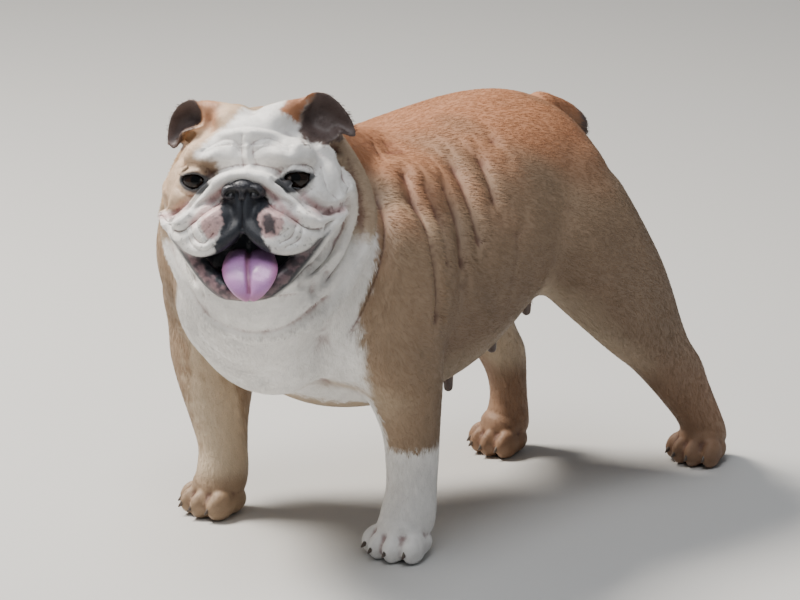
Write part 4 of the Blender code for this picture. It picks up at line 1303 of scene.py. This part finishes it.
def refine_head(mesh):
    """Halves the face's mesh size, for finer lids, lips and wrinkles."""
    points, _ = columns(mesh)
    head = in_head(points)
    x, y, z = head.T
    near = (np.abs(x) < 92) & (y < 12) & (z > -108) & (z < 60)
    shape = bmesh.new()
    shape.from_mesh(mesh)
    shape.verts.ensure_lookup_table()
    chosen = [face for face in shape.faces if all(near[vert.index] for vert in face.verts)]
    edges = list({edge for face in chosen for edge in face.edges})
    found = bmesh.ops.subdivide_edges(shape, edges=edges, cuts=1, use_grid_fill=True)
    fresh = [item for item in found["geom"] if isinstance(item, bmesh.types.BMVert)]
    for _ in range(2):
        bmesh.ops.smooth_vert(shape, verts=fresh, factor=0.5, use_axis_x=True, use_axis_y=True, use_axis_z=True)
    shape.to_mesh(mesh)
    shape.free()


def thinned_skin(dog):
    """Reduces the face and then the rest of the skin to about their numbers of triangles."""
    points, _ = columns(dog.data)
    head = in_head(points)
    x, y, z = head.T
    near = (np.abs(x) < 90) & (y < 8) & (z > -106) & (z < 74)
    sizes = np.array([len(face.vertices) - 2 for face in dog.data.polygons])
    firsts = np.array([face.vertices[0] for face in dog.data.polygons])
    on_face = int(sizes[near[firsts]].sum())
    total = int(sizes.sum())
    dog.modifiers.new("triangles", "TRIANGULATE")
    left = total - on_face + FACE_TRIANGLES
    stages = (("face", near, left / total), ("body", ~near, (FACE_TRIANGLES + BODY_TRIANGLES) / left))
    for name, chosen, ratio in stages:
        group = dog.vertex_groups.new(name=name)
        group.add([int(i) for i in np.flatnonzero(chosen)], 1.0, "REPLACE")
        thin = dog.modifiers.new(name, "DECIMATE")
        thin.ratio = ratio
        thin.vertex_group = name
    done = baked(dog, "skin")
    done.vertex_groups.clear()
    return done


def hollows(skin, points, normals):
    """How deep in a crease each point of the skin lies, 0 to 1: the measure of the painted shade in the creases."""
    smooth = add_smooth(skin, 14)
    even = baked(skin, "even")
    skin.modifiers.remove(smooth)
    level, _ = columns(even.data)
    bpy.data.objects.remove(even)
    rise = np.sum((level - points) * normals, axis=1) / MM
    head = in_head(points)
    near = ramp(115 - np.linalg.norm(head + np.array((0, 0, 30.0)), axis=1), -10, 20)
    on_ear = ramp(head[:, 2], 16, 34) * (np.abs(head[:, 0]) > 36)
    return ramp(rise, 0.04, 0.80 - 0.15 * near) * (1 - 0.8 * on_ear)


def crease_shade(hollow):
    """What the colour is multiplied by at each point: painted shade in the creases, darker and redder, partly the
    skin that shows there.
    """
    return 1 - hollow[:, None] * (1 - np.array(CREASE_SHADE_TINT))


class BULLDOG_OT_coat(bpy.types.Operator):
    """Lays the short coat over the skin in thin overlapping tufts"""
    bl_idname = "bulldog.coat"
    bl_label = "Coat"

    def execute(self, context):
        settings = context.scene.bulldog_coat
        skin = bpy.data.objects["skin"]
        mesh = skin.data
        mesh.calc_loop_triangles()
        points, normals = columns(mesh)
        points = (points - np.array(TO_ORIGIN)) / LIFE_SIZE
        corners = np.empty(len(mesh.loop_triangles) * 3, np.int32)
        mesh.loop_triangles.foreach_get("vertices", corners)
        corners = corners.reshape(-1, 3)
        hollow = np.empty(len(mesh.vertices), np.float32)
        mesh.attributes["hollow"].data.foreach_get("value", hollow)
        chart = skin_chart(mesh)
        material = coat_material()
        names = ("coat_a", "coat_b", "coat_c", "coat_d", "coat_e", "coat_f")
        for number, name in enumerate(names):
            piece = tufts(name, points, normals, corners, hollow, chart, settings, 100 + number)
            finish_piece(piece, material, "coat_fawn")
            piece.data.shade_flat()
        return {"FINISHED"}


def skin_chart(mesh):
    """An unwrap of the skin's own shape: a coarse copy of it with a UV map, ready to be looked up."""
    proxy = bpy.data.objects.new("chart", mesh.copy())
    bpy.context.collection.objects.link(proxy)
    thin = proxy.modifiers.new("thin", "DECIMATE")
    thin.ratio = CHART_FACES / len(mesh.polygons)
    coarse = baked(proxy, "chart_coarse")
    bpy.data.objects.remove(proxy)
    coarse.data.transform(Matrix.Scale(1 / LIFE_SIZE, 4) @ Matrix.Translation(-TO_ORIGIN))
    for item in bpy.context.selected_objects:
        item.select_set(False)
    bpy.context.view_layer.objects.active = coarse
    coarse.select_set(True)
    bpy.ops.object.mode_set(mode="EDIT")
    bpy.ops.mesh.select_all(action="SELECT")
    bpy.ops.uv.smart_project(angle_limit=math.radians(66), island_margin=0.004)
    bpy.ops.object.mode_set(mode="OBJECT")
    shape = coarse.data
    shape.calc_loop_triangles()
    corners = [tuple(triangle.vertices) for triangle in shape.loop_triangles]
    spots = np.array([vert.co[:] for vert in shape.vertices])
    layer = shape.uv_layers.active.data
    uvs = np.array([[layer[loop].uv[:] for loop in triangle.loops] for triangle in shape.loop_triangles])
    tree = BVHTree.FromPolygons([tuple(spot) for spot in spots], corners)
    bpy.data.objects.remove(coarse)
    return tree, spots, np.array(corners), uvs


def chart_places(chart, roots):
    """Where each root lies on the skin's unwrap."""
    tree, spots, corners, uvs = chart
    found = [tree.find_nearest(root) for root in roots.tolist()]
    faces = np.array([hit[2] for hit in found])
    hits = np.array([hit[0][:] for hit in found])
    a, b, c = (spots[corners[faces][:, k]] for k in range(3))
    first, second, third = b - a, c - a, hits - a
    d00 = np.sum(first * first, 1)
    d01 = np.sum(first * second, 1)
    d11 = np.sum(second * second, 1)
    d20 = np.sum(third * first, 1)
    d21 = np.sum(third * second, 1)
    scale = np.maximum(d00 * d11 - d01 * d01, 1e-18)
    v = (d11 * d20 - d01 * d21) / scale
    w = (d00 * d21 - d01 * d20) / scale
    shares = np.column_stack((1 - v - w, v, w))
    return np.sum(uvs[faces] * shares[:, :, None], axis=1)


def tufts(name, points, normals, corners, hollow, chart, settings, seed):
    """One piece of the coat: leaf-shaped closed tufts, each of a root, a ring of three and a tip."""
    chance = np.random.default_rng(seed)
    a, b, c = (points[corners[:, k]] for k in range(3))
    middle = (a + b + c) / 3
    areas = 0.5 * np.linalg.norm(np.cross(b - a, c - a), axis=1)
    weight = areas / hair_length(middle) ** 0.9
    running = np.cumsum(weight)
    count = int(settings.tufts * 1.35)
    picked = np.searchsorted(running, chance.uniform(0, running[-1], count))
    s = np.sqrt(chance.uniform(size=count))[:, None]
    t = chance.uniform(size=count)[:, None]
    shares = np.hstack((1 - s, s * (1 - t), s * t))
    roots = sum(points[corners[picked][:, k]] * shares[:, k:k + 1] for k in range(3))
    ups = sum(normals[corners[picked][:, k]] * shares[:, k:k + 1] for k in range(3))
    ups /= np.linalg.norm(ups, axis=1)[:, None]
    colours, bare = marking_and_shade(roots, ups, looks_of(settings))
    # The tufts take the skin's painted shade in the creases.
    colours = colours * crease_shade(np.sum(hollow[corners[picked]] * shares, axis=1))
    keep = (bare < chance.uniform(0.25, 0.6, count)) & (roots[:, 2] > 0.007)
    keep = np.flatnonzero(keep)[:settings.tufts]
    roots, ups, colours = roots[keep], ups[keep], colours[keep]
    count = len(roots)

    along = flow(roots, ups)
    across = np.cross(ups, along)
    swing = chance.normal(0, 0.10, count)[:, None]
    along = along * np.cos(swing) + across * np.sin(swing)
    across = np.cross(ups, along)
    length = (hair_length(roots) * settings.length * chance.uniform(0.75, 1.25, count))[:, None]
    width = length * chance.uniform(*TUFT_WIDTH, count)[:, None] + 0.00006
    rise = length * chance.uniform(*TUFT_RISE, count)[:, None]
    thick = width * 0.22
    root = roots - ups * 0.00035
    belly = roots + along * length * 0.42 + ups * (rise * 0.8 + 0.00012)
    tip = roots + along * length + ups * rise * chance.uniform(0.5, 1.2, count)[:, None]
    verts = np.stack((root, belly - across * width, belly + ups * thick, belly + across * width, tip), axis=1)
    starts = (np.arange(count) * 5)[:, None]
    shape = np.array(((0, 2, 1), (0, 3, 2), (0, 1, 3), (4, 1, 2), (4, 2, 3), (4, 3, 1)))
    faces = (starts[:, :, None] + shape[None]).reshape(-1, 3)

    mesh = bpy.data.meshes.new(name)
    mesh.vertices.add(count * 5)
    mesh.vertices.foreach_set("co", verts.astype(np.float32).ravel())
    mesh.loops.add(len(faces) * 3)
    mesh.loops.foreach_set("vertex_index", faces.astype(np.int32).ravel())
    mesh.polygons.add(len(faces))
    mesh.polygons.foreach_set("loop_start", np.arange(len(faces), dtype=np.int32) * 3)
    mesh.update(calc_edges=True)
    mesh.validate()

    tone = chance.normal(1.0, 0.045, count)[:, None, None]
    layers = np.array((0.93, 1.0, 1.0, 1.0, 1.05))[None, :, None]
    shades = np.clip(colours[:, None, :] * tone * layers, 0, 1)
    put_colour(mesh, "marking_and_shade", shades.reshape(-1, 3))
    places = chart_places(chart, roots)
    patch_shape = np.array(((0, -1), (-0.8, 0), (0, 0), (0.8, 0), (0, 1))) * TUFT_PATCH
    uvs = (places[:, None, :] + patch_shape[None]).reshape(-1, 2)
    layer = mesh.uv_layers.new(name="OFBake")
    layer.data.foreach_set("uv", uvs[faces.ravel()].astype(np.float32).ravel())
    item = bpy.data.objects.new(name, mesh)
    bpy.context.collection.objects.link(item)
    return item


class BULLDOG_OT_eyes(bpy.types.Operator):
    """Models both eyeballs, with pupil, iris and a swell of cornea"""
    bl_idname = "bulldog.eyes"
    bl_label = "Eyes"

    def execute(self, context):
        settings = context.scene.bulldog_face
        material, tree, shader = new_material("eye", 0.05, coat=0.06, specular=0.28)
        shader.inputs["Coat Roughness"].default_value = 0.02
        tint = attribute(tree, "iris")
        brightness = math_node(tree, "ADD", noise_node(tree, 900.0).outputs["Fac"], 0.5)
        tree.links.new(shaded(tree, tint.outputs["Color"], brightness), shader.inputs["Base Color"])
        for side, name in ((1, "left"), (-1, "right")):
            centre = Vector((side * EYES[side][0], *EYES[side][1:])) * MM
            gaze = Vector((side * -0.02 + 0.10, -1.0, 0.10)).normalized()
            form = bmesh.new()
            bmesh.ops.create_uvsphere(form, u_segments=72, v_segments=54, radius=EYE_RADIUS * MM)
            colours = []
            chance = np.random.default_rng(7)
            spokes = chance.uniform(0.6, 1.5, 72)
            for vert in form.verts:
                angle = vert.co.angle(Vector((0, 0, 1)))
                spoke = spokes[int((math.atan2(vert.co.y, vert.co.x) / (2 * math.pi) + 0.5) * 71.9)]
                if angle < settings.iris_angle * 0.42:
                    colours.append((0.002, 0.002, 0.002))
                elif angle < settings.iris_angle * 0.9:
                    colours.append(tuple(channel * spoke for channel in settings.iris))
                elif angle < settings.iris_angle:
                    colours.append((0.010, 0.006, 0.004))
                else:
                    colours.append(tuple(settings.white_of_eye))
                swell = math.exp(-(angle / 0.50) ** 4)
                vert.co *= 1 + 0.035 * swell
            turn = gaze.to_track_quat("Z", "Y").to_matrix().to_4x4()
            eye = object_from("eyeball_" + name, form, head_frame() @ Matrix.Translation(centre) @ turn)
            put_colour(eye.data, "iris", np.array(colours))
            finish_piece(eye, material, "eye_brown", "eye_" + name)
        return {"FINISHED"}


class BULLDOG_OT_nose(bpy.types.Operator):
    """Models the nose leather, its nostrils and its middle furrow"""
    bl_idname = "bulldog.nose"
    bl_label = "Nose"

    def execute(self, context):
        settings = context.scene.bulldog_face
        clay = bmesh.new()

        def half(side):
            mm_ball(clay, (side * 10, -70, -7.5), (8.5, 8, 7))
            mm_ball(clay, (side * 14, -67, -9), (5.5, 7, 5))
        both_sides(half)
        mm_ball(clay, (0, -69, -4), (11, 9, 7.5))
        mm_ball(clay, (0, -73, -10), (5, 5, 6))
        pad = fused("nose_pad", clay, 0.0006, 4)
        points, normals = columns(pad.data)
        x, _, z = (points / MM).T
        dent = np.zeros(len(points))
        front = ramp(-normals[:, 1], 0.0, 0.4)
        for side in (1, -1):
            course = ((side * 5.5, -9.5), (side * 9.0, -7.6), (side * 13.5, -9.0), (side * 17, -12.5))
            flat = np.column_stack((x, z))
            gap = near_curve(flat, course, 0.8)
            size = 3.0 - 1.3 * ramp(side * x, 10, 15)
            dent -= 4.2 * np.exp(-(gap / size) ** 2.0) * front * ramp(17 - side * x, 0, 4)
        furrow = np.exp(-(x / 0.8) ** 2) * ramp(-z, 2, 6) * front
        moved = points + np.array((0, 1, 0)) * (-dent * MM)[:, None] - normals * (furrow * 1.2 * MM)[:, None]
        put_points(pad.data, moved)
        # The nostrils are painted near black by their depth: painted shade.
        put_value(pad.data, "hollow", np.clip(-dent / 4.0, 0, 1))
        pad.data.transform(head_frame())
        material, tree, shader = new_material("nose leather", 0.42, coat=0.12, specular=0.5)
        shader.inputs["Coat Roughness"].default_value = 0.2
        leather = placed_group(
            tree, pebble_group(), {"Colour": (*settings.nose, 1), "Scale": 850.0, "Groove shade": 0.8})
        hollow = attribute(tree, "hollow")
        # Painted shade: near black in the nostrils.
        tree.links.new(
            mix_node(tree, hollow.outputs["Fac"], leather.outputs["Colour"], (0.002, 0.002, 0.002, 1), colours=True),
            shader.inputs["Base Color"])
        add_bump(tree, shader, leather.outputs["Height"], 0.0005)
        finish_piece(pad, material, "nose_leather", "nose")
        return {"FINISHED"}


class BULLDOG_OT_tongue(bpy.types.Operator):
    """Models the tongue, hanging over the lower lip with a groove along its middle"""
    bl_idname = "bulldog.tongue"
    bl_label = "Tongue"

    def execute(self, context):
        settings = context.scene.bulldog_face
        clay = bmesh.new()
        run = [
            (0, -22, -66, 15, 6), (1, -44, -64, 19, 6.5), (3, -62, -67, 22, 6), (5, -77, -74, 24, 5.5),
            (6, -86.5, -83, 21, 4.5), (6, -89.5, -92, 14, 4), (6, -89.5, -97, 7, 3.2)]
        for x, y, z, half, thick in smooth_run(run, 1.2):
            for across in (-1, 1):
                mm_ball(clay, (x + across * half * 0.48, y, z), (half * 0.54, thick, thick))
        slab = fused("tongue_flesh", clay, 0.0010, 3)
        points, normals = columns(slab.data)
        spots = points / MM
        flat = spots[:, [0, 2]]
        gap = near_curve(flat, [(0.5, -60), (2, -66), (4, -74), (5.5, -83), (6, -92)], 2)
        top = ramp(-normals[:, 1] + normals[:, 2], 0.1, 0.7)
        groove = np.exp(-(gap / 1.8) ** 2) * top
        ripples = ripple(spots, 9.0, 21) * 0.08 * top
        put_points(slab.data, points + normals * ((ripples - 1.7 * groove) * MM)[:, None])
        edge = ramp(np.abs(spots[:, 0] - 5), 15, 25)
        red = np.clip(0.75 * edge + 0.8 * ramp(-spots[:, 2], 88, 99) + 0.6 * ramp(spots[:, 1], -60, -40), 0, 1)
        base = np.tile(np.array(settings.tongue), (len(points), 1))
        base = mix(base, (0.46, 0.15, 0.24), red * 0.7)
        # Painted shade: darker in the middle groove, and near black at the back, inside the mouth.
        base = mix(base, (0.30, 0.11, 0.16), groove * 0.8)
        base = mix(base, (0.05, 0.015, 0.02), ramp(spots[:, 1], -62, -46))
        put_colour(slab.data, "flesh", base)
        slab.data.transform(head_frame())
        material, tree, shader = new_material("tongue", 0.34, coat=0.35, specular=0.5)
        shader.inputs["Coat Roughness"].default_value = 0.18
        tint = attribute(tree, "flesh")
        papillae = placed_group(tree, pebble_group(), {"Scale": 1300.0, "Groove shade": 0.22})
        tree.links.new(tint.outputs["Color"], papillae.inputs["Colour"])
        tree.links.new(papillae.outputs["Colour"], shader.inputs["Base Color"])
        add_bump(tree, shader, papillae.outputs["Height"], 0.00025)
        finish_piece(slab, material, "tongue_flesh", "tongue")
        return {"FINISHED"}


class BULLDOG_OT_claws(bpy.types.Operator):
    """Models the four claws of each foot as curved tapering horn"""
    bl_idname = "bulldog.claws"
    bl_label = "Claws"

    def execute(self, context):
        settings = context.scene.bulldog_face
        material, tree, shader = new_material("claw horn", 0.35, coat=0.2, specular=0.5)
        streaks = noise_node(tree, 600.0)
        tones = tree.nodes.new("ShaderNodeValToRGB")
        tones.color_ramp.elements[0].color = (0.03, 0.022, 0.018, 1)
        tones.color_ramp.elements[1].color = (*settings.claw, 1)
        tree.links.new(streaks.outputs["Fac"], tones.inputs["Fac"])
        tree.links.new(tones.outputs["Color"], shader.inputs["Base Color"])
        add_bump(tree, shader, streaks.outputs["Fac"], 0.0002)
        for name, x, y, size, turn in FEET:
            form = bmesh.new()
            for across, ahead in TOES:
                at_toe = Vector((across * 1.06, -ahead - 0.0150, 0.0115))
                aim = Matrix.Rotation(math.radians(across * 500), 4, "Z") @ Matrix.Rotation(math.radians(112), 4, "X")
                place = foot_frame(x, y, size, turn) @ Matrix.Translation(at_toe) @ aim
                rings = []
                for k in range(7):
                    t = k / 6
                    radius = 0.0029 * (1 - t) ** 0.7 + 0.0007
                    offset = Vector((0, -0.0014 * t * t, -0.005 + 0.0098 * t))
                    tilt = Matrix.Rotation(math.radians(-18 * t), 4, "X") @ Matrix.Diagonal((0.8, 1, 1, 1))
                    rings.append(ring_of_edges(form, 12, radius, place @ Matrix.Translation(offset) @ tilt))
                close_rings(form, rings)
            bmesh.ops.recalc_face_normals(form, faces=form.faces)
            claws = object_from("claws_" + name, form)
            finish_piece(claws, material, "claw_horn", *[f"claw_{name}_{number}" for number in range(1, 5)])
        return {"FINISHED"}


class BULLDOG_OT_stage(bpy.types.Operator):
    """Sets the pale floor, the soft lights and the camera"""
    bl_idname = "bulldog.stage"
    bl_label = "Stage"

    def execute(self, context):
        settings = context.scene.bulldog_stage
        form = bmesh.new()
        bmesh.ops.create_grid(form, x_segments=1, y_segments=1, size=15)
        floor = object_from("floor", form, Matrix.Translation((0, 0, -0.0005)))
        material, _, shader = new_material("pale floor", 0.75, specular=0.2)
        shader.inputs["Base Color"].default_value = (*settings.floor, 1)
        floor.data.materials.append(material)
        world = bpy.data.worlds.new("studio")
        context.scene.world = world
        world.use_nodes = True
        world.node_tree.nodes["Background"].inputs["Color"].default_value = (0.86, 0.92, 1.0, 1)
        world.node_tree.nodes["Background"].inputs["Strength"].default_value = 0.21
        self.lamp("key", (-1.40, -0.80, 2.5), 0.8, settings.key, (1.0, 0.94, 0.86))
        self.lamp("fill", (0.6, -0.9, 3.2), 1.6, settings.fill, (0.95, 0.97, 1.0))
        lens = bpy.data.cameras.new("camera")
        camera = bpy.data.objects.new("camera", lens)
        context.scene.collection.objects.link(camera)
        lens.sensor_width = 36
        lens.lens = CAMERA_LENS
        lens.clip_end = 100
        around = math.radians(CAMERA_AROUND)
        above = math.radians(CAMERA_ABOVE)
        back = Vector((math.sin(around) * math.cos(above), -math.cos(around) * math.cos(above), math.sin(above)))
        camera.location = CAMERA_AIM + back * CAMERA_AWAY
        camera.rotation_euler = (-back).to_track_quat("-Z", "Y").to_euler()
        context.scene.camera = camera
        return {"FINISHED"}

    def lamp(self, name, place, size, power, colour):
        """A square area light of that size in metres and power in watts, aimed at the dog."""
        data = bpy.data.lights.new(name, "AREA")
        data.energy = power
        data.size = size
        data.color = colour
        lamp = bpy.data.objects.new(name, data)
        bpy.context.scene.collection.objects.link(lamp)
        lamp.location = place
        lamp.rotation_euler = (CAMERA_AIM - Vector(place)).to_track_quat("-Z", "Y").to_euler()


class BULLDOG_PT_model(bpy.types.Panel):
    """The bulldog's settings and its pieces"""
    bl_label = "Bulldog"
    bl_idname = "BULLDOG_PT_model"
    bl_space_type = "VIEW_3D"
    bl_region_type = "UI"
    bl_category = "Bulldog"

    def draw(self, context):
        layout = self.layout
        for group in (context.scene.bulldog_coat, context.scene.bulldog_face, context.scene.bulldog_stage):
            box = layout.box()
            for name in group.__annotations__:
                box.prop(group, name)
        for operator in OPERATORS:
            layout.operator(operator.bl_idname)


OPERATORS = (
    BULLDOG_OT_skin, BULLDOG_OT_coat, BULLDOG_OT_eyes, BULLDOG_OT_nose, BULLDOG_OT_tongue, BULLDOG_OT_claws,
    BULLDOG_OT_stage)
CLASSES = (BulldogCoatSettings, BulldogFaceSettings, BulldogStageSettings, *OPERATORS, BULLDOG_PT_model)


def register():
    for item in CLASSES:
        bpy.utils.register_class(item)
    bpy.types.Scene.bulldog_coat = bpy.props.PointerProperty(type=BulldogCoatSettings)
    bpy.types.Scene.bulldog_face = bpy.props.PointerProperty(type=BulldogFaceSettings)
    bpy.types.Scene.bulldog_stage = bpy.props.PointerProperty(type=BulldogStageSettings)


def unregister():
    del bpy.types.Scene.bulldog_stage
    del bpy.types.Scene.bulldog_face
    del bpy.types.Scene.bulldog_coat
    for item in reversed(CLASSES):
        bpy.utils.unregister_class(item)


def main():
    register()
    bpy.ops.bulldog.skin()
    bpy.ops.bulldog.coat()
    bpy.ops.bulldog.eyes()
    bpy.ops.bulldog.nose()
    bpy.ops.bulldog.tongue()
    bpy.ops.bulldog.claws()
    bpy.ops.bulldog.stage()


if __name__ == "__main__":
    main()
